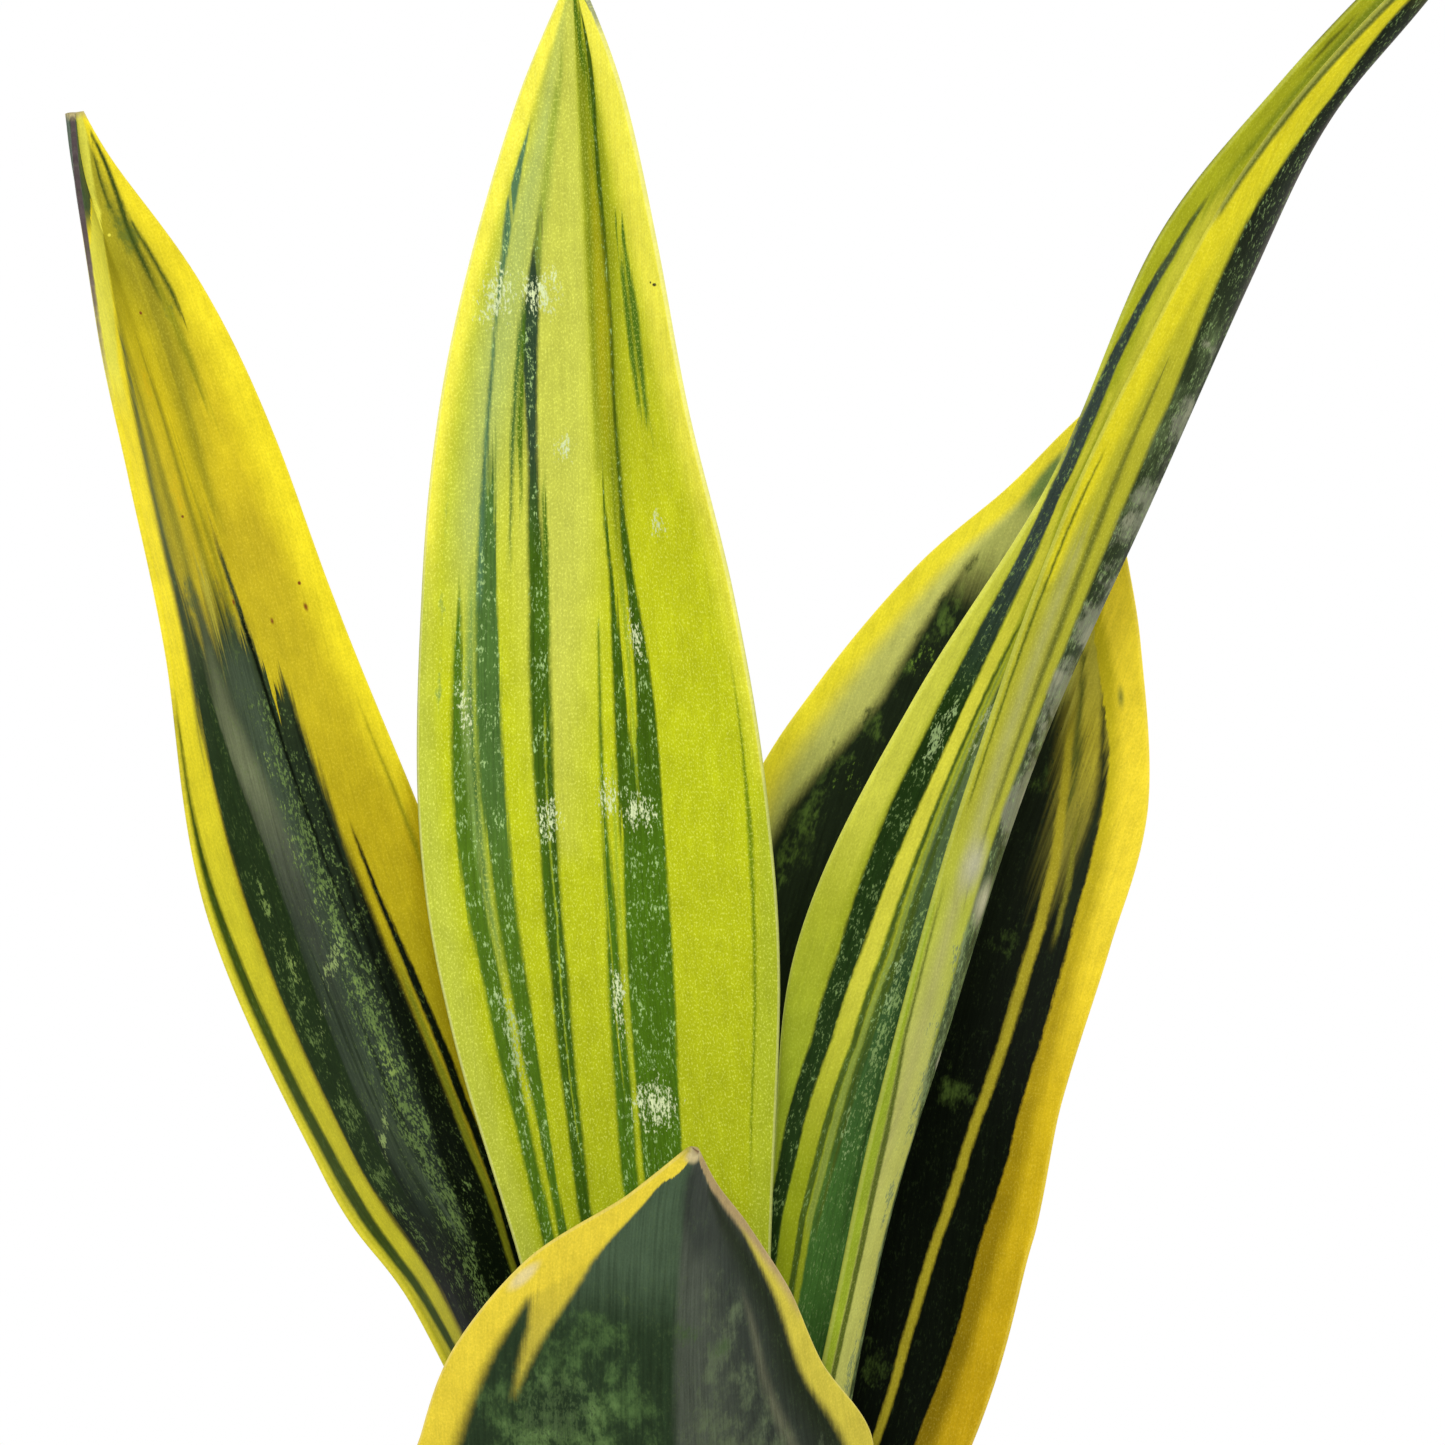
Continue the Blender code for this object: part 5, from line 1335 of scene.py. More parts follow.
# %% Markings of the back leaf
BACK_MARKINGS = [
    Marking("night green left half", "night", [(76, -0.4, 0.4), (220, -0.5, 0.4), (300, -0.5, 0.45)], 0.1,
        tissue="green"),
    Marking("clouds by the left margin", (0.1, 0.17, 0.028), [(236, -0.74, 0.06), (252, -0.66, 0.08),
        (268, -0.6, 0.09), (288, -0.56, 0.12)], 0.16, "clouds"),
    Marking("pale upper part", "pale", [(292, -0.6, 0.5), (297, -0.4, 0.8), (325, 0, 1)], 0.12,
        tissue="yellow", fade=10),
    Marking("pale upper part, right", "pale", [(276, 0.55, 0.08), (284, 0.55, 0.2), (325, 0.5, 0.5)], 0.12,
        "ragged", tissue="yellow", fade=6),
    Marking("mustard at the upper right", [(256, "mustard"), (270, (0.45, 0.38, 0.03)),
        (292, (0.52, 0.47, 0.06))], [(254, 0.6, 0.06), (262, 0.61, 0.12), (278, 0.63, 0.17),
        (290, 0.7, 0.22), (325, 0.8, 0.3)], 0.1, "ragged", fade=12),
    Marking("dark brush in it, right", "night", [(244, 0.73, 0.04), (258, 0.735, 0.028), (270, 0.715, 0.02),
        (282, 0.68, 0.012)], 0.03, "ragged"),
    Marking("dark brush in it, left", "brush", [(262, 0.56, 0.03), (274, 0.54, 0.02), (284, 0.52, 0.012)],
        0.03, "ragged"),
    Marking("dark patch in it", "night", [(256, 0.44, 0.05), (264, 0.42, 0.05), (272, 0.44, 0.03)], 0.06,
        "mottle"),
    Marking("pale zone inside the left margin", [(230, (0.28, 0.29, 0.07)), (262, (0.5, 0.51, 0.13)),
        (300, (0.58, 0.58, 0.14))], [(76, -0.95, 0.14), (236, -0.95, 0.1), (245, -0.93, 0.13),
        (255, -0.9, 0.19), (265, -0.88, 0.23), (290, -0.88, 0.2), (325, -0.85, 0.3)], 0.05, tissue="yellow"),
    Marking("clouded edge of the dark", "night", [(240, -0.8, 0.04), (262, -0.66, 0.05), (288, -0.64, 0.06)],
        0.09, "clouds"),
    Marking("left margin", "margin", [(76, -1, 0.12), (250, -1, 0.11), (270, -1, 0.15), (290, -1, 0.22),
        (302, -1, 0.34), (325, -1, 0.5)], 0.08),
    Marking("green touch at the upper left", "green touch", [(301, -0.56, 0.12), (304, -0.58, 0.14),
        (307, -0.6, 0.1)], 0.1),
    # The inner band of the right margin is partly amber tissue and partly painted shade, darkest low down,
    # where the margin curves away from the light.
    Marking("amber margin", [(165, (0.26, 0.175, 0.003)), (190, (0.34, 0.23, 0.004)),
        (225, (0.46, 0.33, 0.006)), (262, (0.56, 0.46, 0.012))], [(76, 1, 0.4), (160, 1, 0.38),
        (165, 1, 0.36), (175, 1, 0.32), (190, 1, 0.29), (200, 1, 0.23), (210, 1, 0.21), (220, 1, 0.2),
        (240, 1, 0.21), (255, 1, 0.24), (270, 1, 0.25), (285, 1, 0.4), (300, 1, 0.6), (325, 1, 0.9)], 0.01,
        tissue="yellow"),
    Marking("right margin", [(165, (0.58, 0.38, 0.008)), (215, (0.7, 0.5, 0.012)), (250, "right margin")],
        [(76, 1, 0.26), (160, 1, 0.24), (175, 1, 0.2), (190, 1, 0.16), (205, 1, 0.12), (220, 1, 0.11),
        (245, 1, 0.13), (262, 1, 0.18), (280, 1, 0.22), (300, 1, 0.5), (325, 1, 0.9)], 0.055,
        tissue="yellow"),
    Marking("thin yellow stripe", "stripe", [(76, 0.28, 0.03), (155, 0.335, 0.028), (170, 0.35, 0.03),
        (180, 0.4, 0.03), (190, 0.46, 0.028), (200, 0.52, 0.028), (210, 0.585, 0.028), (220, 0.61, 0.028),
        (240, 0.615, 0.03), (250, 0.59, 0.028), (260, 0.53, 0.025), (268, 0.5, 0.02)], 0.014,
        tissue="yellow"),
    Marking("dim second stripe", "stripe dim", [(240, 0.71, 0.01), (248, 0.69, 0.016), (256, 0.64, 0.012)],
        0.014, tissue="yellow"),
]

# %% Spots and finish of the back leaf
BACK_SPOTS = [
    Spot("mottles left, high", "moss", -0.56, 273, 0.16, 7, 1, "mottle"),
    Spot("mottles left, middle", "moss", -0.58, 252, 0.18, 6, 1, "mottle"),
    Spot("mottles left, low", "moss dark", -0.66, 241, 0.16, 7, 1, "clouds"),
    Spot("mottles right, high", "moss dark", 0.45, 237, 0.18, 8, 1, "clouds"),
    Spot("mottles right, middle", "moss dark", 0.4, 210, 0.22, 9, 1, "clouds"),
    Spot("mottles right, low", "moss dark", 0.2, 168, 0.4, 7, 1, "clouds"),
    Spot("mottles right, top", "moss dark", 0.42, 262, 0.12, 8, 1, "clouds"),
    Spot("dark spot", (0.3, 0.28, 0.03), 0.82, 277, 0.04, 2.5, 1),
]
dress(
    "leaf_back", BACK, BACK_GROUND, BACK_MARKINGS, BACK_SPOTS,
    LeafSkin(
        tissue="green", fleck_paint=(0.03, 0.05, 0.014), flecks=0.3, grain_paint=(0.9, 0.8, 0.2), grain=0.08,
        rim_paint=(0.9, 0.76, 0.14), rim=0.25, shift=(1.13, 0.57, 0), roughness=0.46,
    ),
)

# %% [markdown]
# ### The front leaf
#
# Short and broad, and its outer face is towards the camera: dark grey-green with soft green mottles,
# a yellow margin with one pointed spur, and a dry beige tip.

# %% Front leaf
FRONT = {
    "low": (0.02, 0.038, 0.016), "grey green": (0.056, 0.091, 0.049), "slate": (0.066, 0.08, 0.057),
    "slate dark": (0.034, 0.043, 0.032), "deep": (0.014, 0.021, 0.009), "moss": (0.062, 0.118, 0.036),
    "moss dark": (0.095, 0.125, 0.066), "crossing": (0.052, 0.086, 0.034), "olive": (0.14, 0.145, 0.085),
    "margin": (0.74, 0.58, 0.042), "margin right": (0.6, 0.51, 0.055), "spur": (0.5, 0.415, 0.045),
    "beige": (0.4, 0.29, 0.13), "beige pale": (0.72, 0.6, 0.26), "tip": (0.56, 0.47, 0.24),
    "tip brown": (0.2, 0.13, 0.06),
}
FRONT_GROUND = [
    (76, "low"), (186, "low"), (196, "grey green"), (215, "grey green"),
]

# %% Markings of the front leaf
FRONT_MARKINGS = [
    Marking("clouds left", "moss", [(76, -0.45, 0.5), (150, -0.45, 0.46), (176, -0.45, 0.42),
        (188, -0.42, 0.26)], 0.14, "clouds"),
    Marking("brighter clouds left", (0.115, 0.195, 0.062), [(76, -0.5, 0.34), (150, -0.5, 0.32),
        (178, -0.48, 0.2)], 0.2, "clouds"),
    Marking("slate right half", "slate", [(76, 0.44, 0.44), (190, 0.44, 0.44), (214, 0.44, 0.44)], 0.03),
    Marking("darker outside", "slate dark", [(76, 0.62, 0.3), (190, 0.62, 0.26), (200, 0.6, 0.2)], 0.2),
    Marking("deep edge of the right half", "deep", [(76, 0.84, 0.1), (180, 0.8, 0.1), (196, 0.75, 0.12),
        (206, 0.66, 0.12)], 0.12),
    Marking("near the tip", "slate dark", [(198, 0.35, 0.22), (203, 0.32, 0.3), (208, 0.28, 0.34),
        (211, 0.25, 0.3)], 0.1),
    Marking("clouds right", "moss dark", [(76, 0.35, 0.5), (150, 0.4, 0.42), (172, 0.3, 0.3),
        (190, 0.4, 0.2)], 0.14, "clouds"),
    Marking("soft crossing", "crossing", [(178, 0.42, 0.1), (181, 0.28, 0.14), (184, 0.12, 0.14),
        (187, -0.06, 0.12), (190, -0.22, 0.12), (192, -0.38, 0.1)], 0.16, "clouds"),
    Marking("faint beige line", "olive", [(76, 0.6, 0.01), (150, 0.6, 0.012), (165, 0.61, 0.016),
        (180, 0.62, 0.008)], 0.05, "threaded", fade=8),
    Marking("spur", [(184, "spur"), (196, (0.66, 0.52, 0.035))], [(176.7, -0.67, 0.006),
        (181.2, -0.672, 0.028), (185.6, -0.672, 0.05), (188.4, -0.685, 0.078), (190.6, -0.7, 0.108),
        (193.8, -0.75, 0.165), (201.8, -0.8, 0.185), (209, -0.85, 0.17)], 0.03, tissue="yellow"),
    Marking("left margin", "margin", [(76, -1, 0.15), (167, -1, 0.14), (172, -1, 0.15), (178, -1, 0.17),
        (186, -1, 0.18), (190.5, -1, 0.185), (193, -1, 0.3), (197, -1, 0.39), (202, -1, 0.38),
        (209, -1, 0.33), (213, -1, 0.9)], 0.04, tissue="yellow"),
    Marking("right margin", "margin right", [(76, 1, 0.13), (170, 1, 0.145), (188, 1, 0.13), (198, 1, 0.1),
        (205, 1, 0.16), (210, 1, 0.28), (213, 1, 0.6)], 0.035, tissue="yellow"),
    Marking("beige right edge", "beige", [(178, 1, 0.03), (194, 1, 0.1), (204, 1, 0.2), (210, 1, 0.34),
        (213, 1, 0.6)], 0.05),
]

# %% Spots and finish of the front leaf
FRONT_SPOTS = [
    Spot("beige spot at the left", "beige pale", -0.93, 193, 0.07, 3, 0.7),
    Spot("dry tip", "tip", 0.1, 214, 0.9, 1.6, 0.7),
    Spot("brown edge of the tip", "tip brown", 0.25, 214.6, 0.4, 0.8, 0.9),
    Spot("pale cross specks", "crossing", -0.5, 172, 0.3, 10, 0.8, "dust"),
]
dress(
    "leaf_front", FRONT, FRONT_GROUND, FRONT_MARKINGS, FRONT_SPOTS,
    LeafSkin(
        tissue="green", fleck_paint=(0.06, 0.095, 0.03), flecks=0.25, grain_paint=(0.84, 0.7, 0.22),
        grain=0.06, rim_paint=(0.74, 0.62, 0.24), rim=0.3, shift=(1.91, 0.83, 0), roughness=0.42,
    ),
)
# %% [markdown]
# ## The pot
#
# A clay pot is pressed or thrown, so every section through its axis is the same. A profile spun round
# the axis gives exactly that. The photograph cuts the pot off, so it is finished plainly: a straight
# taper, a band at the rim and four drain holes. Faint rings from the wheel run round its wall.

# %% Sizes of the pot
POT_HEIGHT = 0.115
POT_BASE_RADIUS = 0.046
POT_RIM_RADIUS = 0.065
POT_WALL = 0.0045
POT_FLOOR = 0.006
RIM_BAND_HEIGHT = 0.022
RIM_BAND_STEP = 0.0025
RIM_BAND_TAPER = 0.0010
POT_EDGE_ROUND = 0.0014
POT_EDGE_STEPS = 5
WALL_ROWS = 36
WHEEL_RING_DEPTH = 0.00008
POT_STEPS = 144
BAND_FOOT_CORNER = 2
WHEEL_RING_WAVES = (1.9, 0.37)
MERGE_DISTANCE = 0.00001


def outer_radius(height):
    share = height / POT_HEIGHT
    return POT_BASE_RADIUS + (POT_RIM_RADIUS - RIM_BAND_STEP - POT_BASE_RADIUS) * share


def inner_radius(height):
    return outer_radius(height) - POT_WALL


print("mouth of the pot in mm:", round(2000 * inner_radius(POT_HEIGHT)))

# %% Profile of the pot
def rounded(corner, before, after):
    """Points of a small arc that rounds a profile's corner between the points before and after it."""
    corner = Vector(corner)
    start = corner + (Vector(before) - corner).normalized() * POT_EDGE_ROUND
    end = corner + (Vector(after) - corner).normalized() * POT_EDGE_ROUND
    shares = [step / POT_EDGE_STEPS for step in range(POT_EDGE_STEPS + 1)]
    return [(1 - t) ** 2 * start + 2 * t * (1 - t) * corner + t**2 * end for t in shares]


def pot_profile():
    band_foot = POT_HEIGHT - RIM_BAND_HEIGHT
    corners = [
        (0.0, 0.0),
        (POT_BASE_RADIUS, 0.0),
        (outer_radius(band_foot), band_foot),
        (POT_RIM_RADIUS - RIM_BAND_TAPER, band_foot),
        (POT_RIM_RADIUS, POT_HEIGHT),
        (inner_radius(POT_HEIGHT), POT_HEIGHT),
        (inner_radius(POT_FLOOR), POT_FLOOR),
        (0.0, POT_FLOOR),
    ]
    profile = [Vector(corners[0])]
    for i in range(1, len(corners) - 1):
        arc = rounded(corners[i], corners[i - 1], corners[i + 1])
        if i == BAND_FOOT_CORNER:
            low, high = profile[-1], arc[0]
            for row in range(1, WALL_ROWS):
                point = low.lerp(high, row / WALL_ROWS)
                quick, slow = WHEEL_RING_WAVES
                ring = 0.5 + 0.5 * math.sin(row * quick) * math.cos(row * slow)
                profile.append(point - Vector((WHEEL_RING_DEPTH * ring, 0.0)))
        profile += arc
    return profile + [Vector(corners[-1])]


def turned(profile, steps):
    """Spin a profile of (radius, height) points once round the Z axis."""
    bm = bmesh.new()
    verts = [bm.verts.new((radius, 0.0, height)) for radius, height in profile]
    edges = [bm.edges.new((verts[i - 1], verts[i])) for i in range(1, len(verts))]
    bmesh.ops.spin(
        bm, geom=verts + edges, cent=(0, 0, 0), axis=(0, 0, 1), angle=2 * math.pi, steps=steps, use_merge=True
    )
    bmesh.ops.remove_doubles(bm, verts=bm.verts[:], dist=MERGE_DISTANCE)
    bmesh.ops.recalc_face_normals(bm, faces=bm.faces[:])
    return bm


print("points of the pot's profile:", len(pot_profile()))

# %% [markdown]
# The drain holes are cut with a Boolean modifier, which is then applied, because the finished pot
# should be one plain mesh.

# %% Cut the drain holes
DRAIN_HOLE_RADIUS = 0.0045
DRAIN_RING_RADIUS = 0.027
DRAIN_HOLE_COUNT = 4
DRAIN_FIRST_ANGLE = math.radians(45)
DRAIN_HOLE_SIDES = 32
POT_SMOOTH_ANGLE = math.radians(40)


def drain_cutters():
    bm = bmesh.new()
    for number in range(DRAIN_HOLE_COUNT):
        angle = DRAIN_FIRST_ANGLE + 2 * math.pi * number / DRAIN_HOLE_COUNT
        place = (DRAIN_RING_RADIUS * math.cos(angle), DRAIN_RING_RADIUS * math.sin(angle), 0.0)
        bmesh.ops.create_cone(
            bm,
            cap_ends=True,
            segments=DRAIN_HOLE_SIDES,
            radius1=DRAIN_HOLE_RADIUS,
            radius2=DRAIN_HOLE_RADIUS,
            depth=4 * POT_FLOOR,
            matrix=Matrix.Translation(place),
        )
    return finish_piece("drain_cutters", bm)


clay_pot = finish_piece("fine_pot", turned(pot_profile(), POT_STEPS))
cutters = drain_cutters()
drill = clay_pot.modifiers.new("drain_holes", "BOOLEAN")
drill.operation = "DIFFERENCE"
drill.solver = "EXACT"
drill.object = cutters
bpy.context.view_layer.update()
drilled = bpy.data.meshes.new_from_object(clay_pot.evaluated_get(bpy.context.evaluated_depsgraph_get()))
clay_pot.modifiers.clear()
clay_pot.data = drilled
bpy.data.objects.remove(cutters, do_unlink=True)
clay_pot.data.shade_smooth()
clay_pot.data.set_sharp_from_angle(angle=POT_SMOOTH_ANGLE)
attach(clay_pot, "root")
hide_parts("pot")
print("pot faces:", len(clay_pot.data.polygons))

# %% [markdown]
# Fired clay is matte and slightly mottled, with dark and pale grog in it. Watering draws salts through
# the wall, which dry as a white bloom low on the outside and under the band, and the edges of the rim
# and the band are rubbed paler. The height alone places these marks.

# %% Clay colours
CLAY = {
    "dark": (0.43, 0.150, 0.068),
    "light": (0.56, 0.225, 0.110),
    "rings": (0.60, 0.26, 0.135),
    "dark grog": (0.22, 0.075, 0.04),
    "pale grog": (0.74, 0.45, 0.29),
    "salt": (0.80, 0.74, 0.66),
    "rubbed": (0.72, 0.40, 0.25),
}
BAND_FOOT = POT_HEIGHT - RIM_BAND_HEIGHT
SALT_BELOW_BAND = 0.004
SALT_BAND_REACH = 0.012
SALT_LOW = (0.050, 0.004)
SALT_UNDER_BAND = 0.8
SALT_REACH = 0.22
SALT_CUT = (0.60, 0.76)
SALT_STRENGTH = 0.62
LIP_HEIGHT = 0.0022
RUBBED_EDGE_RISE = 0.0006
RUBBED_EDGE_REACH = 0.0012
RUBBED_STRENGTH = 0.55
CLAY_ROUGHNESS = 0.72
CLAY_ROUGHNESS_CHANGE = 0.16
GROG_RELIEF = -0.5
RING_RELIEF = 0.8
CLAY_RELIEF = 0.5
CLAY_RELIEF_DEPTH = 0.0003
print("colours of the clay:", ", ".join(CLAY))

# %% Clay finish
def near_height(tree, height, middle, reach):
    """1 at a height, fading to 0 at a distance from it."""
    away = calculate(tree, "ABSOLUTE", calculate(tree, "SUBTRACT", height, middle))
    return soft_step(tree, away, reach, 0.0)


def clay_finish():
    material, tree, shader = new_material("fired_clay")
    place = add_node(tree, "ShaderNodeTexCoord").outputs["Object"]
    split = add_node(tree, "ShaderNodeSeparateXYZ")
    feed(tree, split.inputs[0], place)
    height = split.outputs[2]
    clouds = noise_value(tree, place, 24.0, 4.0, 0.6)
    colour = mix_colours(tree, soft_step(tree, clouds, 0.35, 0.65), CLAY["dark"], CLAY["light"])
    rings = noise_value(tree, scaled(tree, place, (6.0, 6.0, 260.0)), detail=3.0)
    colour = mix_colours(tree, soft_step(tree, rings, 0.5, 0.75), colour, CLAY["rings"])
    dark_grog = soft_step(tree, noise_value(tree, place, 1100.0, 1.0), 0.68, 0.74)
    colour = mix_colours(tree, dark_grog, colour, CLAY["dark grog"])
    pale_place = scaled(tree, place, (900.0, 900.0, 900.0), (3.0, 1.0, 2.0))
    pale_grog = soft_step(tree, noise_value(tree, pale_place, detail=1.0), 0.68, 0.76)
    colour = mix_colours(tree, pale_grog, colour, CLAY["pale grog"])
    salt_place = scaled(tree, place, (38.0, 38.0, 60.0), (1.3, 2.4, 0.7))
    salt_cloud = noise_value(tree, salt_place, detail=6.0, roughness=0.68)
    under_band = near_height(tree, height, BAND_FOOT - SALT_BELOW_BAND, SALT_BAND_REACH)
    under_band = times(tree, under_band, SALT_UNDER_BAND)
    reach = calculate(tree, "MAXIMUM", soft_step(tree, height, *SALT_LOW), under_band)
    salt = soft_step(tree, times_plus(tree, reach, SALT_REACH, salt_cloud), *SALT_CUT)
    colour = mix_colours(tree, times(tree, salt, SALT_STRENGTH), colour, CLAY["salt"])
    lip = soft_step(tree, height, POT_HEIGHT - LIP_HEIGHT, POT_HEIGHT)
    band_edge = near_height(tree, height, BAND_FOOT + RUBBED_EDGE_RISE, RUBBED_EDGE_REACH)
    scuff = soft_step(tree, noise_value(tree, place, 160.0, 4.0, 0.65), 0.40, 0.62)
    worn = times(tree, calculate(tree, "MAXIMUM", lip, band_edge), scuff)
    colour = mix_colours(tree, times(tree, worn, RUBBED_STRENGTH), colour, CLAY["rubbed"])
    feed(tree, shader["Base Color"], colour)
    rough = times_plus(tree, clouds, CLAY_ROUGHNESS_CHANGE, CLAY_ROUGHNESS)
    feed(tree, shader["Roughness"], rough)
    grit = noise_value(tree, place, 1500.0, 4.0, 0.6)
    raised = times_plus(tree, rings, RING_RELIEF, grit)
    raised = times_plus(tree, dark_grog, GROG_RELIEF, raised)
    relief(tree, shader, raised, CLAY_RELIEF, CLAY_RELIEF_DEPTH)
    return material


clay_pot.data.materials.clear()
clay_pot.data.materials.append(clay_finish())
print("finish of the pot:", clay_pot.data.materials[0].name)

# %% [markdown]
# ## The potting mix
#
# Potting mix is dark peat with bark chips and white perlite in it. Its surface is a low dome, so it is
# turned like the pot and then roughened with noise in lumps of a few millimetres. The pieces lying
# on it are a few hundred small shapes, each beaten out of a cube or a ball and kept off the leaves.

# %% Turn the soil
SOIL_EDGE_HEIGHT = 0.097
SOIL_CROWN_HEIGHT = 0.101
SOIL_GAP = 0.0003
SOIL_FOOT_CLEARANCE = 0.0015
SOIL_RINGS = 64
SOIL_STEPS = 168
LUMP_HEIGHT = 0.0016
LUMP_SCALE = 170.0
CRUMB_HEIGHT = 0.0006
CRUMB_SCALE = 620.0
WALL_CALM = 0.003
LUMP_OCTAVES = 3
LEVEL_TOLERANCE = 0.0001

soil_edge = inner_radius(SOIL_EDGE_HEIGHT) - SOIL_GAP


def soil_height(x, y):
    """Height of the lumpy soil at a place."""
    share = min(math.hypot(x, y) / soil_edge, 1.0)
    dome = (SOIL_CROWN_HEIGHT - SOIL_EDGE_HEIGHT) * math.cos(share * math.pi / 2)
    place = Vector((x, y, 0.0))
    lumps = LUMP_HEIGHT * noise.fractal(place * LUMP_SCALE, 1.0, 2.0, LUMP_OCTAVES)
    crumbs = CRUMB_HEIGHT * noise.noise(place * CRUMB_SCALE)
    calm = min((soil_edge - math.hypot(x, y)) / WALL_CALM, 1.0)
    return SOIL_EDGE_HEIGHT + dome + (lumps + crumbs) * calm


def soil_profile():
    foot = POT_FLOOR + SOIL_GAP
    points = [(0.0, foot), (inner_radius(foot) - SOIL_GAP - SOIL_FOOT_CLEARANCE, foot)]
    for ring in range(SOIL_RINGS + 1):
        points.append((soil_edge * (1 - ring / SOIL_RINGS), SOIL_EDGE_HEIGHT))
    return points


soil_shape = turned(soil_profile(), SOIL_STEPS)
for vert in soil_shape.verts:
    if vert.co.z > SOIL_EDGE_HEIGHT - LEVEL_TOLERANCE:
        vert.co.z = soil_height(vert.co.x, vert.co.y)
fine_soil = finish_piece("fine_soil", soil_shape)
fine_soil.data.shade_smooth()
fine_soil.data.set_sharp_from_angle(angle=POT_SMOOTH_ANGLE)
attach(fine_soil, "root")
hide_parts("soil")
print("soil faces:", len(fine_soil.data.polygons))

# %% [markdown]
# Nothing may lie where a leaf comes out of the soil. The sections of the leaves say where that is, so a
# few points across each leaf are read from them and kept clear.

# %% Where the leaves stand
SOIL_SAMPLES = 9
LOW_SHARE = 0.3
LOW_SAMPLES = 200


def leaf_feet():
    """For each leaf, points across it where it comes out of the soil."""
    feet = []
    for wave, sections in LEAVES.values():
        rows = np.array(sections, dtype=float)
        v = np.linspace(0.0, LOW_SHARE, LOW_SAMPLES)
        at_soil = v[np.argmin(np.abs(section_at(rows, v)[1][:, Z] - SOIL_CROWN_HEIGHT))]
        u = np.linspace(-1.0, 1.0, SOIL_SAMPLES)
        feet.append(blade_sheet(rows, wave, u, np.full(SOIL_SAMPLES, at_soil)))
    return np.concatenate(feet)


LEAF_FEET = leaf_feet()


def is_clear(x, y, reach):
    return np.min(np.hypot(LEAF_FEET[:, 0] - x, LEAF_FEET[:, 1] - y)) > reach


print("points of the leaves at the soil:", len(LEAF_FEET))

# %% [markdown]
# Each scattered piece is made in place. Its corners are pushed about by a seeded random generator,
# which is all that it takes to make a chip look torn and a ball look like a crumb.

# %% Lay pieces on the soil
LEAF_CLEARANCE = 0.0026
WALL_CLEARANCE = 0.0012
WIDTHS = (0.45, 0.85)
HEIGHTS = (0.7, 1.2)
TILTS = (-0.35, 0.35)
CHIP_BLOCK = 1.7
CHIP_CHAMFER = 0.35


def lay_pieces(name, make_shape, count, sizes, flatness, roughness, sink, seed):
    """Lay small pieces on the soil. Sizes are the smallest and largest half length in metres."""
    dice = random.Random(seed)
    bm = bmesh.new()
    laid = 0
    while laid < count:
        size = sizes[0] + (sizes[1] - sizes[0]) * dice.random() ** 2
        radius = (soil_edge - WALL_CLEARANCE - size) * math.sqrt(dice.random())
        angle = dice.uniform(0.0, 2 * math.pi)
        x = radius * math.cos(angle)
        y = radius * math.sin(angle)
        if not is_clear(x, y, LEAF_CLEARANCE + size):
            continue
        shape = (size, size * dice.uniform(*WIDTHS), size * flatness * dice.uniform(*HEIGHTS))
        tilt = Matrix.Rotation(dice.uniform(*TILTS), 4, "X") @ Matrix.Rotation(dice.uniform(*TILTS), 4, "Y")
        matrix = (
            Matrix.Translation((x, y, soil_height(x, y) + shape[2] * (1 - sink)))
            @ Matrix.Rotation(dice.uniform(0.0, 2 * math.pi), 4, "Z")
            @ tilt
            @ Matrix.Diagonal((*shape, 1.0))
        )
        for vert in make_shape(bm):
            push = Vector([dice.uniform(-roughness, roughness) for axis in range(3)])
            vert.co = matrix @ (vert.co + push)
        laid += 1
    bmesh.ops.recalc_face_normals(bm, faces=bm.faces[:])
    piece = finish_piece(name, bm)
    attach(piece, "root")
    print(name, "pieces:", count, "faces:", len(piece.data.polygons))
    return piece


print("distance kept from the leaves in mm:", 1000 * LEAF_CLEARANCE)

# %% Scatter bark, perlite and crumbs
def chip_shape(bm):
    """A block with chamfered edges."""
    cube = bmesh.ops.create_cube(bm, size=CHIP_BLOCK)["verts"]
    edges = list({edge for vert in cube for edge in vert.link_edges})
    bevelled = bmesh.ops.bevel(
        bm, geom=edges, offset=CHIP_CHAMFER, offset_type="OFFSET", segments=1, profile=0.5, affect="EDGES",
        material=-1,
    )
    return bevelled["verts"]


def ball_shape(bm):
    return bmesh.ops.create_uvsphere(bm, u_segments=8, v_segments=5, radius=1.0)["verts"]


def grain_shape(bm):
    return bmesh.ops.create_icosphere(bm, subdivisions=1, radius=1.0)["verts"]


bark = lay_pieces(
    "bark_chips", chip_shape, count=170, sizes=(0.0018, 0.0060), flatness=0.30, roughness=0.22, sink=0.35,
    seed=11,
)
perlite = lay_pieces(
    "perlite", ball_shape, count=150, sizes=(0.0007, 0.0019), flatness=0.85, roughness=0.20, sink=0.45,
    seed=23,
)
crumbs = lay_pieces(
    "soil_crumbs", grain_shape, count=1300, sizes=(0.0005, 0.0016), flatness=0.80, roughness=0.25, sink=0.40,
    seed=37,
)
for rounded_piece in (perlite, crumbs):
    rounded_piece.data.shade_smooth()

# %% [markdown]
# Peat is nearly black when moist and browner where it has dried. Bark is red-brown with fibres, and
# perlite is white and slightly stained by the peat round it.

# %% Soil finishes
FIBRE_SHADE = 0.45
PATCH_ROUGHNESS = 0.12
FIBRE_RELIEF = 0.6
EARTH_RELIEF = 0.9


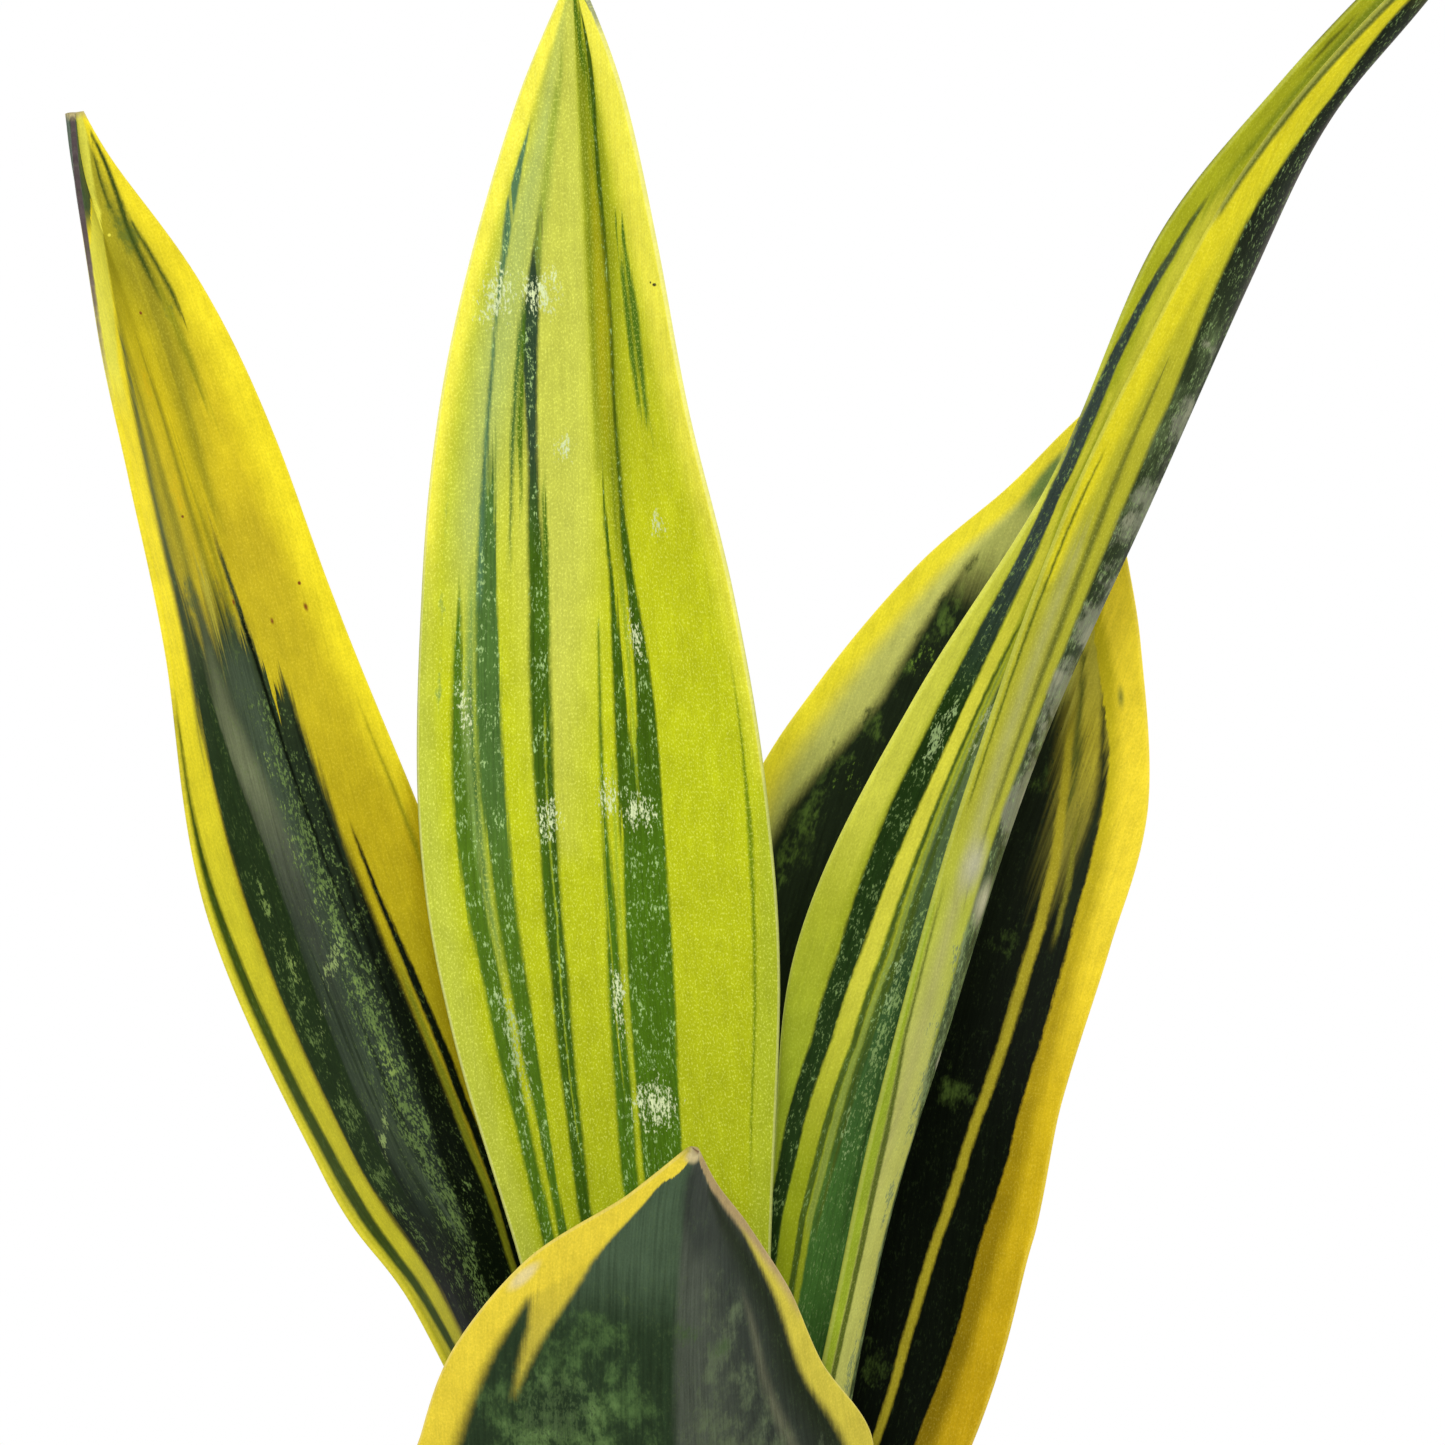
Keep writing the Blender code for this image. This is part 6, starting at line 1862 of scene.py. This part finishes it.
def earth_finish(name, dark, light, patch_scale, fibre_scale, roughness, relief_depth):
    """A rough natural finish: patches of two colours, fibres across them and a grainy relief."""
    material, tree, shader = new_material(name)
    place = add_node(tree, "ShaderNodeTexCoord").outputs["Object"]
    patches = noise_value(tree, place, patch_scale, 5.0, 0.62)
    colour = mix_colours(tree, soft_step(tree, patches, 0.36, 0.66), dark, light)
    fibres = noise_value(tree, scaled(tree, place, fibre_scale), detail=4.0, roughness=0.7)
    darker = tuple(FIBRE_SHADE * channel for channel in dark)
    colour = mix_colours(tree, soft_step(tree, fibres, 0.52, 0.70), colour, darker)
    feed(tree, shader["Base Color"], colour)
    feed(tree, shader["Roughness"], times_plus(tree, patches, PATCH_ROUGHNESS, roughness))
    raised = times_plus(tree, fibres, FIBRE_RELIEF, patches)
    relief(tree, shader, raised, EARTH_RELIEF, relief_depth)
    return material


peat = earth_finish(
    "peat", dark=(0.018, 0.011, 0.007), light=(0.065, 0.038, 0.021), patch_scale=420.0,
    fibre_scale=(900.0, 900.0, 900.0), roughness=0.82, relief_depth=0.0008,
)
bark_brown = earth_finish(
    "bark", dark=(0.075, 0.032, 0.014), light=(0.24, 0.115, 0.050), patch_scale=170.0,
    fibre_scale=(260.0, 1100.0, 700.0), roughness=0.74, relief_depth=0.0005,
)
perlite_white = earth_finish(
    "perlite_grain", dark=(0.44, 0.40, 0.33), light=(0.82, 0.80, 0.74), patch_scale=620.0,
    fibre_scale=(1500.0, 1500.0, 1500.0), roughness=0.70, relief_depth=0.0003,
)
fine_soil.data.materials.append(peat)
crumbs.data.materials.append(peat)
bark.data.materials.append(bark_brown)
perlite.data.materials.append(perlite_white)
print("soil finishes:", peat.name, bark_brown.name, perlite_white.name)

# %% [markdown]
# ## The rhizome
#
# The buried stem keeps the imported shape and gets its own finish: orange-brown, ringed by the scars of
# old scale leaves.

# %% Rhizome finish
rhizome_skin = earth_finish(
    "rhizome_skin", dark=(0.30, 0.12, 0.035), light=(0.62, 0.34, 0.13), patch_scale=90.0,
    fibre_scale=(420.0, 60.0, 60.0), roughness=0.62, relief_depth=0.0004,
)
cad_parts["rhizome"].material_slots[0].material = rhizome_skin
print("finish of the rhizome:", rhizome_skin.name)

# %% [markdown]
# ## The floor
#
# A small white disc carries the pot and takes its soft shadow. It is narrow enough to stay out of the
# photograph's view, which shows nothing but white behind the leaves.

# %% Floor
FLOOR_RADIUS = 0.45
FLOOR_SIDES = 128
FLOOR_WHITE = (0.93, 0.93, 0.92)
FLOOR_SHADED = (0.86, 0.86, 0.85)
FLOOR_ROUGHNESS = 0.7

floor_shape = bmesh.new()
bmesh.ops.create_circle(floor_shape, cap_ends=True, segments=FLOOR_SIDES, radius=FLOOR_RADIUS)
floor = finish_piece("floor", floor_shape)
floor_finish, floor_tree, floor_shader = new_material("floor_paint")
floor_place = add_node(floor_tree, "ShaderNodeTexCoord").outputs["Object"]
floor_cloud = noise_value(floor_tree, floor_place, 6.0, 3.0)
floor_colour = mix_colours(floor_tree, floor_cloud, FLOOR_SHADED, FLOOR_WHITE)
feed(floor_tree, floor_shader["Base Color"], floor_colour)
floor_shader["Roughness"].default_value = FLOOR_ROUGHNESS
floor.data.materials.append(floor_finish)
print("floor, across in m:", 2 * FLOOR_RADIUS)
